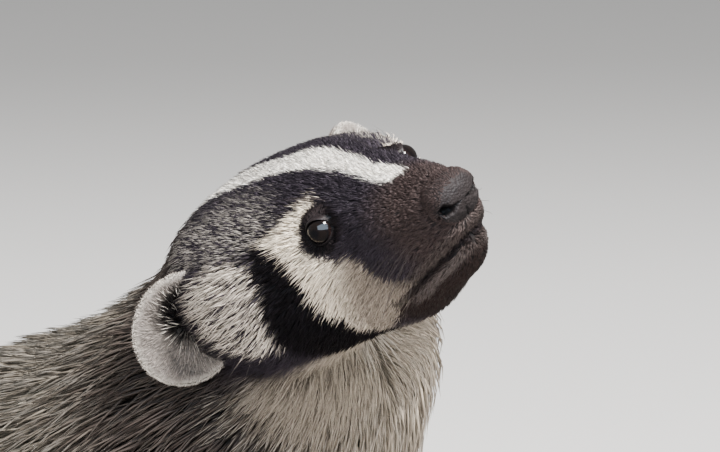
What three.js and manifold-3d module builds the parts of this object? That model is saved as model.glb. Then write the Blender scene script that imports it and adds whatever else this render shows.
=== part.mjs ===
// An American badger, life size: half crouched on four feet, neck raised, head cocked to its right.
// Millimetres, +X the way the torso faces, +Y its left, +Z up, the soles at Z = 0.
import * as THREE from "three";
import { mergeVertices } from "three/addons/utils/BufferGeometryUtils.js";
import Module from "manifold-3d";

const wasm = await Module();
wasm.setup();

// Driving dimensions
const GAP = 0.3; // between nodes that touch
const EYE_SPACING = 43; // centre to centre
const EYE_RADIUS = 5.6;
const EAR_WIDTH = 42;
const EAR_HEIGHT = 37;
const TAIL_LENGTH = 128;
const FORE_CLAW = 34; // along the curve, front feet
const HIND_CLAW = 17;

// The head's pose in the torso's frame: where the point between the eyes is, and how far the head turns
const HEAD_AT = new THREE.Vector3(120, -78, 292);
const HEAD_YAW = -25.5; // towards the right
const HEAD_PITCH = 9.9; // nose up
const HEAD_ROLL = 31.6; // right ear down

const rad = THREE.MathUtils.degToRad;
const vec = (x, y, z) => new THREE.Vector3(x, y, z);
const mix = THREE.MathUtils.lerp;
const smooth = THREE.MathUtils.smoothstep;
const UP = vec(0, 0, 1);

const headTurn = new THREE.Matrix4()
  .makeRotationZ(rad(HEAD_YAW))
  .multiply(new THREE.Matrix4().makeRotationY(rad(-HEAD_PITCH)))
  .multiply(new THREE.Matrix4().makeRotationX(rad(HEAD_ROLL)));
const headPlace = new THREE.Matrix4().makeTranslation(HEAD_AT.x, HEAD_AT.y, HEAD_AT.z).multiply(headTurn);
const onHead = (x, y, z) => vec(x, y, z).applyMatrix4(headPlace);
const headWay = (x, y, z) => vec(x, y, z).transformDirection(headTurn);

// A small repeatable source of random numbers
function randomFrom(seed) {
  let state = seed;
  return () => {
    state = (state * 1664525 + 1013904223) % 4294967296;
    return state / 4294967296;
  };
}

// Solids and meshes
function solid(geometry) {
  const bare = geometry.clone();
  bare.deleteAttribute("normal");
  bare.deleteAttribute("uv");
  const merged = mergeVertices(bare, 1e-4);
  const vertProperties = merged.attributes.position.array;
  const triVerts = new Uint32Array(merged.index.array);
  const made = new wasm.Manifold(new wasm.Mesh({ numProp: 3, vertProperties, triVerts }));
  if (made.volume() > 0) return made;
  return new wasm.Manifold(new wasm.Mesh({ numProp: 3, vertProperties, triVerts: triVerts.reverse() }));
}

const joined = (solids) => wasm.Manifold.union(solids);

// The largest closed surface of a solid, with slivers smoothed away, so that no loose scrap is left after a cut
const FINE = 0.04;
const MIDDLING = 0.2;
const BROAD = 0.5;
function largest(body, sliver = FINE) {
  const pieces = body.simplify(sliver).decompose().sort((a, b) => b.volume() - a.volume());
  return pieces[0];
}

// One closed skin over rings of points, each ring run anticlockwise seen from the front end,
// ending at a tip where one is given
function skinOver(rings, tip) {
  const sides = rings[0].length;
  const points = [];
  for (const ring of rings) for (const p of ring) points.push(p.x, p.y, p.z);
  const centre = (ring) => ring.reduce((sum, p) => sum.add(p), vec(0, 0, 0)).divideScalar(sides);
  const back = centre(rings[0]);
  const front = tip ?? centre(rings[rings.length - 1]);
  points.push(back.x, back.y, back.z, front.x, front.y, front.z);
  const backPole = rings.length * sides;
  const frontPole = backPole + 1;
  const faces = [];
  for (let k = 0; k < sides; k++) {
    const next = (k + 1) % sides;
    faces.push(backPole, next, k);
    const last = (rings.length - 1) * sides;
    faces.push(frontPole, last + k, last + next);
    for (let r = 0; r < rings.length - 1; r++) {
      const a = r * sides + k;
      const b = r * sides + next;
      faces.push(a, b, a + sides, b, b + sides, a + sides);
    }
  }
  const geometry = new THREE.BufferGeometry();
  geometry.setAttribute("position", new THREE.Float32BufferAttribute(points, 3));
  geometry.setIndex(faces);
  return geometry;
}

// A body form: stations {at, size: [half width, up, down], dorsal}, swept along a smooth curve from the rear to the front
class Form {
  constructor(stations, square = 2.2) {
    this.path = new THREE.CatmullRomCurve3(stations.map((s) => s.at));
    this.sizes = new THREE.CatmullRomCurve3(stations.map((s) => vec(...s.size)));
    this.dorsals = stations.map((s) => s.dorsal ?? UP);
    this.square = square;
  }

  frame(t) {
    const forward = this.path.getTangent(t);
    const span = t * (this.dorsals.length - 1);
    const low = Math.min(Math.floor(span), this.dorsals.length - 2);
    const dorsal = this.dorsals[low].clone().lerp(this.dorsals[low + 1], span - low);
    const left = dorsal.clone().cross(forward).normalize();
    return { at: this.path.getPoint(t), forward, left, up: forward.clone().cross(left).normalize() };
  }

  // Angle 0 is the left side, a quarter turn is the back, three quarters the belly
  point(t, angle, grow = 0) {
    const { at, left, up } = this.frame(t);
    const size = this.sizes.getPoint(t);
    const c = Math.cos(angle);
    const s = Math.sin(angle);
    const power = 2 / this.square;
    const across = Math.sign(c) * Math.abs(c) ** power * (size.x + grow);
    const rise = Math.sign(s) * Math.abs(s) ** power * ((s > 0 ? size.y : size.z) + grow);
    return at.addScaledVector(left, across).addScaledVector(up, rise);
  }

  geometry(rings, sides, grow = 0) {
    const made = [];
    for (let r = 0; r <= rings; r++) {
      const ring = [];
      for (let k = 0; k < sides; k++) ring.push(this.point(r / rings, (k / sides) * 2 * Math.PI, grow));
      const endPush = r === 0 ? -grow : r === rings ? grow : 0;
      for (const p of ring) p.addScaledVector(this.path.getTangent(r / rings), endPush);
      made.push(ring);
    }
    return skinOver(made);
  }

  // The way out of the surface, and the way the form runs, at one place
  lie(t, angle) {
    const step = 0.01;
    const along = this.point(Math.min(t + step, 1), angle).sub(this.point(Math.max(t - step, 0), angle));
    const round = this.point(t, angle + step).sub(this.point(t, angle - step));
    const out = round.cross(along).normalize();
    return { out, along: along.normalize() };
  }
}

const station = (x, y, z, halfWidth, up, down, dorsal) => ({ at: vec(x, y, z), size: [halfWidth, up, down], dorsal });

// Torso: flat and wide, haunches lower than the shoulders, the core of the long coat included
const torsoForm = new Form([
  station(-334, 0, 112, 12, 10, 10),
  station(-324, 0, 114, 46, 38, 36),
  station(-296, 0, 116, 78, 60, 47),
  station(-250, 0, 118, 99, 74, 54),
  station(-185, 0, 119, 112, 83, 58),
  station(-115, 0, 121, 115, 88, 60),
  station(-50, 0, 125, 108, 89, 61),
  station(5, 0, 131, 93, 82, 59),
  station(42, 0, 136, 74, 66, 52),
  station(62, 0, 139, 44, 40, 34),
  station(70, 0, 140, 12, 12, 10),
]);

// Neck: rises steeply from the shoulders and bends to the right
const neckDorsal = headWay(0, 0, 1);
const midDorsal = UP.clone().add(neckDorsal).add(vec(-0.5, 0, 0)).normalize();
const neckForm = new Form([
  station(-112, 2, 134, 62, 66, 50),
  station(-58, 0, 146, 92, 74, 62, vec(-0.3, 0, 1)),
  station(-12, -4, 166, 92, 72, 66, vec(-0.5, 0, 0.85)),
  station(26, -14, 198, 79, 58, 64, vec(-0.68, 0, 0.7)),
  { at: onHead(-88, -4, -48), size: [63, 47, 54], dorsal: midDorsal },
  { at: onHead(-66, 0, -27), size: [46, 32, 37], dorsal: neckDorsal },
  { at: onHead(-46, 0, -16), size: [26, 18, 18], dorsal: neckDorsal },
]);

// Head sections from the occiput to the nose, in the head's own frame: x, middle height, half width, up, down
const HEAD_SECTIONS = [
  [-98, -16, 18, 12, 14],
  [-94, -16, 31, 21, 24],
  [-82, -15, 42, 26, 33],
  [-64, -14, 49, 29, 37],
  [-44, -14, 50, 30, 38],
  [-22, -13, 43.5, 28, 37],
  [-2, -13, 33, 26, 34],
  [15, -13, 25.5, 22.5, 31],
  [30, -13, 20, 19, 25.5],
  [42, -12, 14.8, 15, 17.2],
  [49, -10.5, 11.5, 10.5, 11.5],
  [52.5, -9, 5, 5, 5],
];
const HEAD_SQUARE = 2.25;
const headForm = new Form(
  HEAD_SECTIONS.map(([x, z, w, u, d]) => ({ at: onHead(x, 0, z), size: [w, u, d], dorsal: neckDorsal })),
  HEAD_SQUARE,
);

// Soft swellings and hollows of the face: centre in the head's frame, reach, height
const FACE_RELIEF = [
  { at: [-30, 44, -26], reach: 22, height: 3.5 }, // cheek muscle
  { at: [3, 22, 9], reach: 9, height: 1.8 }, // brow
  { at: [1, 28, 1], reach: 10, height: -3 }, // eye socket
  { at: [12, 22, -5], reach: 9, height: -2.2 }, // hollow before the eye
  { at: [38, 15, -18], reach: 11, height: 1.4 }, // whisker pad
  { at: [20, 0, 12], reach: 12, height: -1.2 }, // bridge of the nose
  { at: [41, 0, -31], reach: 9, height: 3.2 }, // chin
  { at: [2, 0, -47], reach: 16, height: 3 }, // throat
];

function withRelief(geometry) {
  const inverse = headPlace.clone().invert();
  const places = geometry.attributes.position;
  geometry.computeVertexNormals();
  const normals = geometry.attributes.normal;
  const p = vec(0, 0, 0);
  const n = vec(0, 0, 0);
  for (let i = 0; i < places.count; i++) {
    p.fromBufferAttribute(places, i);
    n.fromBufferAttribute(normals, i);
    const local = p.clone().applyMatrix4(inverse);
    let push = 0;
    for (const { at, reach, height } of FACE_RELIEF) {
      for (const side of at[1] ? [1, -1] : [1]) {
        const apart = local.distanceTo(vec(at[0], at[1] * side, at[2]));
        push += height * Math.exp(-((apart / reach) ** 2));
      }
    }
    p.addScaledVector(n, push);
    places.setXYZ(i, p.x, p.y, p.z);
  }
  return geometry;
}

// Placing a shape that is modelled round its own origin, its +Z turned to a given way
function placed(geometry, at, way, roll = 0) {
  const turn = new THREE.Quaternion().setFromUnitVectors(UP, way.clone().normalize());
  geometry.rotateZ(roll);
  geometry.applyQuaternion(turn);
  geometry.translate(at.x, at.y, at.z);
  return geometry;
}

const ball = (radius, wide, high) => new THREE.SphereGeometry(radius, wide, high).rotateX(Math.PI / 2);

// Eyes, set at the surface and looking out and forward
const eyeAt = (side) => onHead(0.5, (side * EYE_SPACING) / 2, 0.3);
const eyeWay = (side) => headWay(0.42, side * 0.88, 0.22);
const eyeBall = (side, grow) => placed(ball(EYE_RADIUS + grow, 14, 9), eyeAt(side), eyeWay(side));

// The two lids: a rounded rim about each eye, longer fore and aft than it is high
function lidRim(side) {
  const rim = new THREE.TorusGeometry(EYE_RADIUS * 0.95, 1.6, 6, 16);
  rim.scale(1.2, 0.92, 1.15);
  const outward = eyeWay(side);
  return placed(rim, eyeAt(side).addScaledVector(outward, EYE_RADIUS * 0.45), outward);
}

// Half the head's width at a place along it and a height, both in the head's frame
function headHalfWidth(x, z) {
  const k = HEAD_SECTIONS.findIndex((section) => section[0] >= x);
  const [low, high] = [HEAD_SECTIONS[k - 1], HEAD_SECTIONS[k]];
  const share = (x - low[0]) / (high[0] - low[0]);
  const [middleZ, half, up, down] = [1, 2, 3, 4].map((n) => mix(low[n], high[n], share));
  const rise = Math.abs(z - middleZ) / (z > middleZ ? up : down);
  return rise >= 1 ? 0 : half * (1 - rise ** HEAD_SQUARE) ** (1 / HEAD_SQUARE);
}

// The line of the mouth: a groove from one corner round the front of the lips to the other
const MOUTH = { frontX: 50.5, cornerX: 10, frontZ: -20, cornerZ: -31, groove: 1.5 };
function mouthGroove() {
  const stations = [];
  const steps = 9;
  for (let k = -steps; k <= steps; k++) {
    const back = Math.abs(k) / steps;
    const x = mix(MOUTH.frontX, MOUTH.cornerX, back ** 1.6);
    const z = mix(MOUTH.frontZ, MOUTH.cornerZ, smooth(back, 0, 0.95));
    const y = Math.sign(k) * headHalfWidth(x, z);
    const deep = MOUTH.groove * (k === -steps || k === steps ? 0.35 : 1);
    const outward = headWay(k === 0 ? 1 : 0.4 * (1 - back), Math.sign(k), 0);
    stations.push({ at: onHead(x, y, z), size: [deep * 0.8, deep * 1.6, deep * 1.6], dorsal: outward });
  }
  return solid(new Form(stations, 2).geometry(22, 5));
}

// Nose pad: its own node, with two comma-shaped nostrils
const NOSE_TIP = 56.3;
const nosePadForm = new Form(
  [
    [42, -3.5, 6, 5, 5],
    [45, -4, 9.6, 8, 8.4],
    [49.5, -5, 10.6, 8.6, 9.6],
    [54.2, -6.2, 9, 7.2, 8.6],
    [NOSE_TIP, -7, 4.4, 3.8, 4.6],
  ].map(([x, z, w, u, d]) => ({ at: onHead(x, 0, z), size: [w, u, d], dorsal: neckDorsal })),
  2.4,
);
function nostril(side) {
  const hole = ball(3, 8, 6).scale(0.8, 1.25, 1.7);
  return solid(placed(hole, onHead(52.8, side * 6.4, -7), headWay(0.75, side * 0.66, 0.1)));
}
function nosePad(grow) {
  return solid(nosePadForm.geometry(6, 12, grow));
}

const skullShape = (grow) => solid(withRelief(headForm.geometry(20, 24, grow)));

// The flesh is one shape, parted by thin flat cuts behind the head and at the foot of the neck
const cutBehindHead = { at: onHead(-76, 0, -20), way: headWay(0.92, 0, 0.38) };
const cutUnderNeck = { at: vec(12, -4, 172), way: vec(0.5, -0.08, 0.86).normalize() };
function partedBy(body, { at, way }) {
  const through = at.dot(way);
  const front = body.trimByPlane(way.toArray(), through + GAP / 2);
  const rear = body.trimByPlane(way.clone().negate().toArray(), -through + GAP / 2);
  return [front, rear];
}

function withFace(head) {
  const lidded = joined([head, solid(lidRim(1)), solid(lidRim(-1))]);
  const socketed = lidded.subtract(solid(eyeBall(1, GAP))).subtract(solid(eyeBall(-1, GAP)));
  return largest(socketed.subtract(mouthGroove()).subtract(nosePad(GAP)));
}

function makeNose() {
  return largest(nosePad(0).subtract(nostril(1)).subtract(nostril(-1)));
}

// Ears: a low round cup, open forwards and outwards
const earAt = (side) => onHead(-68, side * 49.5, -15.5);
const earFacing = (side) => headWay(0.8, side * 0.58, 0.12);
function earShape(side, cupGrow = 0) {
  const shell = ball(1, 16, 10).scale(EAR_WIDTH / 2, EAR_HEIGHT / 2, 9.5);
  const cup = ball(1, 16, 10).scale(EAR_WIDTH / 2 - 3.4 + cupGrow, EAR_HEIGHT / 2 - 3.2 + cupGrow, 11);
  const facing = earFacing(side);
  const up = headWay(0, side * 0.62, 0.78);
  const basis = new THREE.Matrix4();
  const across = up.clone().cross(facing).normalize();
  basis.makeBasis(across, facing.clone().cross(across), facing);
  const place = (g, offset) => {
    g.applyMatrix4(basis);
    const at = earAt(side).addScaledVector(facing, offset);
    return g.translate(at.x, at.y, at.z);
  };
  return solid(place(shell, 0)).subtract(solid(place(cup, 9.2)));
}

// Tail: short and bushy, held down and back
const tailForm = new Form([
  station(-342 - TAIL_LENGTH * 0.66, 12, 70, 4, 4, 4),
  station(-342 - TAIL_LENGTH * 0.58, 11, 72, 13, 11, 11),
  station(-342 - TAIL_LENGTH * 0.35, 7, 82, 22, 17, 17),
  station(-342 - TAIL_LENGTH * 0.08, 2, 103, 26, 20, 20),
  station(-322, 0, 124, 26, 21, 22),
  station(-300, 0, 132, 12, 10, 10),
]);

// The long coat: flat tapering locks that leave the surface, lie back along it and overlap like shingles
const LOCK_STEPS = [0, 0.45, 0.8]; // where a lock's rings are, root to tip
const LOCK_SPREAD = [0.7, 1, 0.52]; // its width at each ring
const LOCK_SINK = 5; // how deep its root lies
const LOCK_THICK = 2.6;
function lock(form, t, angle, { length, width, down, lift, drop }) {
  const span = form.path.getLength();
  const girth = form.sizes.getPoint(t).x;
  const turnWay = Math.cos(angle) >= 0 ? -1 : 1;
  const along = (s) => {
    const tt = Math.max(t - (s * length * Math.cos(down)) / span, 0.012);
    const aa = angle + (turnWay * s * length * Math.sin(down)) / girth;
    const out = form.lie(tt, aa).out;
    const height = mix(-LOCK_SINK, lift, smooth(s, 0, 0.6)) - 0.5 * lift * smooth(s, 0.6, 1.4);
    return { at: form.point(tt, aa).addScaledVector(out, height).addScaledVector(UP, -drop * s * s), out };
  };
  const tip = along(1).at;
  const rings = LOCK_STEPS.map((s, step) => {
    const { at, out } = along(s);
    const ahead = along(s + 0.06).at.sub(at).normalize();
    const across = ahead.clone().cross(out).normalize();
    const face = across.clone().cross(ahead);
    const half = (width / 2) * LOCK_SPREAD[step];
    const thick = LOCK_THICK * (1 - 0.6 * s);
    return [
      at.clone().addScaledVector(across, half),
      at.clone().addScaledVector(face, thick),
      at.clone().addScaledVector(across, -half),
      at.clone().addScaledVector(face, -thick),
    ];
  });
  return solid(skinOver(rings, tip));
}

// Rows of locks round a form: each row is an angle on the left side, mirrored, with its own count and size
function coatRows(form, rows, seed) {
  const random = randomFrom(seed);
  const made = [];
  rows.forEach((row, index) => {
    for (let k = 0; k < row.count; k++) {
      for (const side of [1, -1]) {
        const t = mix(row.from, row.to, (k + (index % 2) * 0.5) / (row.count - 0.5)) + 0.012 * (random() - 0.5);
        const aim = rad(row.angle + 7 * (random() - 0.5));
        const angle = side > 0 ? aim : Math.PI - aim;
        const size = 0.88 + 0.26 * random();
        made.push(
          lock(form, t, angle, {
            length: row.length * size,
            width: row.width * (0.9 + 0.2 * random()),
            down: rad(row.down + 10 * (random() - 0.5)),
            lift: row.lift * (0.8 + 0.4 * random()),
            drop: row.drop ?? 0,
          }),
        );
      }
    }
  });
  return made;
}

const TORSO_COAT = [
  { angle: 76, from: 0.16, to: 0.88, count: 6, length: 62, width: 28, down: 8, lift: 3 },
  { angle: 52, from: 0.14, to: 0.9, count: 7, length: 70, width: 29, down: 18, lift: 6 },
  { angle: 28, from: 0.11, to: 0.92, count: 8, length: 78, width: 28, down: 30, lift: 9 },
  { angle: 2, from: 0.11, to: 0.93, count: 9, length: 82, width: 27, down: 38, lift: 12, drop: 6 },
  { angle: -26, from: 0.14, to: 0.93, count: 8, length: 74, width: 26, down: 36, lift: 10, drop: 12 },
];
const NECK_COAT = [
  { angle: 54, from: 0.4, to: 0.62, count: 3, length: 50, width: 26, down: 10, lift: 4 },
  { angle: 12, from: 0.4, to: 0.64, count: 3, length: 54, width: 26, down: 18, lift: 6 },
  { angle: -28, from: 0.42, to: 0.64, count: 3, length: 50, width: 26, down: 18, lift: 6 },
];
const TAIL_COAT = [
  { angle: 70, from: 0.1, to: 0.68, count: 3, length: 52, width: 19, down: 4, lift: 4 },
  { angle: 0, from: 0.07, to: 0.66, count: 3, length: 54, width: 19, down: 8, lift: 5 },
  { angle: -62, from: 0.1, to: 0.6, count: 3, length: 46, width: 18, down: 4, lift: 4 },
];

// Legs and feet. side is 1 on the left, -1 on the right; heel to toe runs forward and a little inwards
const FORE_FOOT = { x: 34, y: 84, length: 64, width: 25, toes: 5, claw: FORE_CLAW, spread: 9.2, turn: 8 };
const HIND_FOOT = { x: -226, y: 88, length: 74, width: 21, toes: 5, claw: HIND_CLAW, spread: 8, turn: -6 };

function foreLegForm(side) {
  const y = (a) => side * a;
  return new Form([
    station(30, y(84), 13, 20, 13, 20, vec(1, 0, 0)),
    station(26, y(84), 28, 22, 18, 20, vec(1, 0, 0)),
    station(14, y(84), 52, 27, 23, 24, vec(1, 0, 0)),
    station(-2, y(80), 84, 33, 33, 32, vec(1, 0, 0)),
    station(-8, y(70), 122, 30, 36, 34, vec(1, 0, 0)),
  ]);
}

function hindLegForm(side) {
  const y = (a) => side * a;
  return new Form([
    station(-258, y(86), 13, 18, 22, 14, vec(1, 0, 0)),
    station(-262, y(88), 30, 22, 22, 18, vec(1, 0, 0)),
    station(-250, y(90), 58, 29, 36, 30, vec(1, 0, 0)),
    station(-236, y(86), 88, 35, 50, 42, vec(1, 0, 0)),
    station(-238, y(74), 118, 32, 46, 42, vec(1, 0, 0)),
  ]);
}

// A point of a foot from its own measure: ahead along the sole, aside towards the outer edge, up
function footPoint(foot, side, ahead, aside, up) {
  const turn = rad(foot.turn) * side;
  const ax = ahead * Math.cos(turn) + aside * side * Math.sin(turn);
  const ay = aside * side * Math.cos(turn) - ahead * Math.sin(turn);
  return vec(foot.x + ax, side * foot.y + ay, up);
}

const FOOT_HEIGHT = 13;
const ANKLE = 22; // where the leg is parted from the foot
function footSole(foot, side) {
  const { length, width } = foot;
  const at = (ahead, up) => footPoint(foot, side, ahead, 0, up);
  return new Form([
    { at: at(-length * 0.5, 9), size: [width * 0.45, 8, 12] },
    { at: at(-length * 0.38, 10), size: [width * 0.8, 12, 14] },
    { at: at(-length * 0.05, 11), size: [width * 0.95, FOOT_HEIGHT, 14] },
    { at: at(length * 0.22, 10), size: [width * 1.08, 11, 13] },
    { at: at(length * 0.36, 9), size: [width * 0.8, 7, 12] },
  ]);
}

const toeAside = (foot, k) => (k - (foot.toes - 1) / 2) * foot.spread;
const toeReach = (foot, k) => foot.length * (0.5 - 0.022 * (k - 1.7) ** 2);

function toe(foot, side, k) {
  const aside = toeAside(foot, k);
  const reach = toeReach(foot, k);
  const at = (ahead, up) => footPoint(foot, side, ahead, aside * (0.75 + ahead / foot.length / 2), up);
  return new Form([
    { at: at(reach - 22, 10), size: [3.8, 5, 8] },
    { at: at(reach - 10, 9.5), size: [5.4, 7, 11] },
    { at: at(reach - 3, 8), size: [5.2, 6.4, 10] },
    { at: at(reach, 7), size: [2.6, 3.6, 5] },
  ]);
}

// Claws: curved and tapering, the front ones very long
function claw(foot, side, k, grow = 0) {
  const start = toeReach(foot, k) - 5;
  const aside = toeAside(foot, k);
  const rings = [];
  const steps = 4;
  const edgeSides = 5;
  const length = foot.claw * (1 - 0.07 * Math.abs(k - 1.7));
  const thick = foot.claw > 25 ? 2.9 : 2.3;
  for (let r = 0; r <= steps; r++) {
    const s = r / steps;
    const droop = 0.22 + 0.62 * s;
    const ahead = start + length * Math.sin(s * 1.05) * 0.93;
    const up = 9.4 + length * (0.16 * Math.sin(s * 2.4) - 0.2 * droop * s);
    const middle = footPoint(foot, side, ahead, aside * (1.12 + 0.1 * s), Math.max(up, 2.2 * (1 - s) + 1.3));
    const ahead2 = footPoint(foot, side, ahead + 1, aside, middle.z - 0.3 * droop);
    const forward = ahead2.sub(middle).setY(0).normalize();
    const across = footPoint(foot, side, 0, 1, 0).sub(footPoint(foot, side, 0, 0, 0));
    const high = forward.clone().cross(across).normalize();
    if (high.z < 0) high.negate();
    const size = thick * (1 - s) ** 0.65 + 0.35;
    const ring = [];
    for (let e = 0; e < edgeSides; e++) {
      const a = (e / edgeSides) * 2 * Math.PI;
      ring.push(
        middle
          .clone()
          .addScaledVector(across, Math.cos(a) * (size * 0.72 + grow))
          .addScaledVector(high, Math.sin(a) * (size + grow)),
      );
    }
    rings.push(ring);
  }
  return solid(skinOver(rings));
}

const toSolid = (form, rings, sides, grow = 0) => solid(form.geometry(rings, sides, grow));

// Putting the nodes together
const nodes = new THREE.Group();
const finish = {
  coat: new THREE.MeshStandardMaterial({ color: 0x8d8172, roughness: 0.95 }),
  headCoat: new THREE.MeshStandardMaterial({ color: 0x463a38, roughness: 0.9 }),
  earCoat: new THREE.MeshStandardMaterial({ color: 0xcfc7bd, roughness: 0.95 }),
  darkCoat: new THREE.MeshStandardMaterial({ color: 0x2d2523, roughness: 0.9 }),
  noseLeather: new THREE.MeshStandardMaterial({ color: 0x33292a, roughness: 0.55 }),
  eye: new THREE.MeshStandardMaterial({ color: 0x120d0c, roughness: 0.08 }),
  claw: new THREE.MeshStandardMaterial({ color: 0xb39c7a, roughness: 0.45 }),
};

function addNode(name, body, material) {
  const { vertProperties, triVerts } = body.getMesh();
  const geometry = new THREE.BufferGeometry();
  geometry.setAttribute("position", new THREE.BufferAttribute(new Float32Array(vertProperties), 3));
  geometry.setIndex(new THREE.BufferAttribute(new Uint32Array(triVerts), 1));
  geometry.computeVertexNormals();
  const mesh = new THREE.Mesh(geometry, material);
  mesh.name = name;
  nodes.add(mesh);
}

const flesh = (grow) =>
  joined([toSolid(torsoForm, 15, 18, grow), toSolid(neckForm, 11, 18, grow), skullShape(grow)]);
const fleshGrown = flesh(GAP);
const SIDES = [
  ["left", 1],
  ["right", -1],
];
const LIMBS = [
  ["fore", FORE_FOOT, foreLegForm],
  ["hind", HIND_FOOT, hindLegForm],
];
const limbsGrown = SIDES.flatMap(([, side]) => LIMBS.map(([, , legForm]) => toSolid(legForm(side), 9, 14, GAP * 3)));
const earsGrown = SIDES.map(([, side]) => earShape(side, GAP));
const tailBare = joined([toSolid(tailForm, 8, 10), ...coatRows(tailForm, TAIL_COAT, 5)]);
const tailRoom = toSolid(tailForm, 8, 10, 6);
const trunkLocks = [...coatRows(torsoForm, TORSO_COAT, 11), ...coatRows(neckForm, NECK_COAT, 23)];
const trunkCoat = joined(trunkLocks).subtract(joined([...limbsGrown, tailRoom, ...earsGrown]));
const [headEnd, body] = partedBy(joined([flesh(0), trunkCoat]), cutBehindHead);
const [neck, torso] = partedBy(body, cutUnderNeck);
addNode("head", withFace(headEnd), finish.headCoat);
addNode("nose_pad", makeNose(), finish.noseLeather);
addNode("neck", largest(neck, MIDDLING), finish.coat);
addNode("torso", largest(torso, MIDDLING), finish.coat);
addNode("tail", largest(tailBare.subtract(fleshGrown), MIDDLING), finish.coat);

for (const [word, side] of SIDES) {
  addNode(`eye_${word}`, solid(eyeBall(side, 0)), finish.eye);
  addNode(`ear_${word}`, largest(earShape(side).subtract(fleshGrown), MIDDLING), finish.earCoat);
  for (const [limb, foot, legForm] of LIMBS) {
    const toes = [];
    for (let k = 0; k < foot.toes; k++) toes.push(toSolid(toe(foot, side, k), 3, 5));
    const soleShape = toSolid(footSole(foot, side), 5, 10);
    const paw = largest(joined([soleShape, ...toes]).trimByPlane([0, 0, 1], 0));
    const leg = toSolid(legForm(side), 9, 14).trimByPlane([0, 0, 1], 0);
    const whole = joined([leg, paw]).simplify(BROAD).subtract(fleshGrown);
    const claws = [];
    for (let k = 0; k < foot.toes; k++) claws.push(claw(foot, side, k, GAP));
    const lower = whole.trimByPlane([0, 0, -1], -(ANKLE - GAP / 2));
    const upper = whole.trimByPlane([0, 0, 1], ANKLE + GAP / 2);
    const pawCut = largest(lower.subtract(joined(claws)));
    addNode(`${limb}leg_${word}`, largest(upper), finish.darkCoat);
    addNode(`${limb}foot_${word}`, pawCut, finish.darkCoat);
    for (let k = 0; k < foot.toes; k++) {
      addNode(`${limb}claw_${word}_${k + 1}`, claw(foot, side, k), finish.claw);
    }
  }
}

// The row's origin is on the floor under the middle of the whole animal
const room = new THREE.Box3().setFromObject(nodes);
const middle = room.getCenter(vec(0, 0, 0));
nodes.position.set(-middle.x, -middle.y, -room.min.z);
nodes.updateMatrixWorld(true);

export default nodes;
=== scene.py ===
# %% [markdown]
# # An American badger, life size
# The solids already give the animal's size, stance and outline. This lesson dresses them: one seamless
# skin, a coat of many thousands of small mesh tufts that lie along the body, wet eyes with lids, a pebbled
# nose and worn horn claws. All of it is placed in the frame of the solids, so each piece lands on its own.

# %% Load the solids
import math
import bmesh
import bpy
import numpy as np
from mathutils import Matrix, Vector
from mathutils.bvhtree import BVHTree
from mathutils.kdtree import KDTree

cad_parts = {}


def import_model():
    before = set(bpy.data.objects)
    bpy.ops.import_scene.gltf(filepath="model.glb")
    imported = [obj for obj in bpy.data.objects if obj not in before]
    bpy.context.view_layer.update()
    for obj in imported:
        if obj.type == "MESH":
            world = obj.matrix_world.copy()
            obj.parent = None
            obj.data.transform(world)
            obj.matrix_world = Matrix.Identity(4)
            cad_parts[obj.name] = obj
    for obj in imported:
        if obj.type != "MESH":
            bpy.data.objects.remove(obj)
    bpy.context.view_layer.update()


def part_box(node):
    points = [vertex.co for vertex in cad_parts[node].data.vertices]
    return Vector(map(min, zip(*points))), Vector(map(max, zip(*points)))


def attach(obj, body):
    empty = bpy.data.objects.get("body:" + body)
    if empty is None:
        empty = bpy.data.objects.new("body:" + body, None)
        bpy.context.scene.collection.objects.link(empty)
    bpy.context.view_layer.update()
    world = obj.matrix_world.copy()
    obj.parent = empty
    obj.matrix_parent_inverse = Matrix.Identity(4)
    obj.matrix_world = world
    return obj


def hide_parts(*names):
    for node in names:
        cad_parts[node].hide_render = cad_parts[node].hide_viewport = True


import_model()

# %% [markdown]
# The plan of the animal is in millimetres and the scene is in metres, so one factor joins them. The head is
# cocked on the neck: it is turned to the right, lifted, and rolled with its right ear down. A head frame,
# with x to the nose, y to the left ear and z to the crown, lets every feature of the face be placed as if
# it were level.

# %% The plan's frame and the head's own frame
MM = 0.001
HEAD_AT = np.array([120.0, -78.0, 292.0])
HEAD_YAW = math.radians(-25.5)
HEAD_PITCH = math.radians(9.9)
HEAD_ROLL = math.radians(31.6)
EYE_AT = np.array([0.5, 21.5, 0.3])
EYE_RADIUS = 5.6

HEAD_TURN = np.array(
    Matrix.Rotation(HEAD_YAW, 3, "Z")
    @ Matrix.Rotation(-HEAD_PITCH, 3, "Y")
    @ Matrix.Rotation(HEAD_ROLL, 3, "X")
)


def on_head(points):
    """Places in the head's frame, turned into the plan's"""
    return np.asarray(points, float) @ HEAD_TURN.T + HEAD_AT


def head_way(way):
    """A direction of the head's frame, in the plan's"""
    turned = np.asarray(way, float) @ HEAD_TURN.T
    return turned / np.linalg.norm(turned, axis=-1, keepdims=True)


right_eye_box = np.array(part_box("eye_right"))
SHIFT = right_eye_box.mean(axis=0) - on_head(EYE_AT * [1, -1, 1]) * MM


def to_frame(points):
    """Millimetres of the plan, turned into the frame's metres"""
    return np.asarray(points, float) * MM + SHIFT


def to_plan(places):
    """Metres of the frame, turned into the plan's millimetres"""
    return (np.asarray(places, float) - SHIFT) / MM


def to_head(places):
    """Metres of the frame, turned into the head's millimetres"""
    return (to_plan(places) - HEAD_AT) @ HEAD_TURN


def mirrored(local):
    """Places of the head's frame, all brought to its left side"""
    return local * [1, 0, 1] + np.abs(local) * [0, 1, 0]


print("the plan lies", np.round(SHIFT / MM, 2), "mm from the frame's origin")

# %% [markdown]
# The photograph was taken through a long lens from a little above the animal's eyes, so the camera stands
# well back. Its focal length follows from the scale in the picture: so many pixels for each metre at the
# head.

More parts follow.
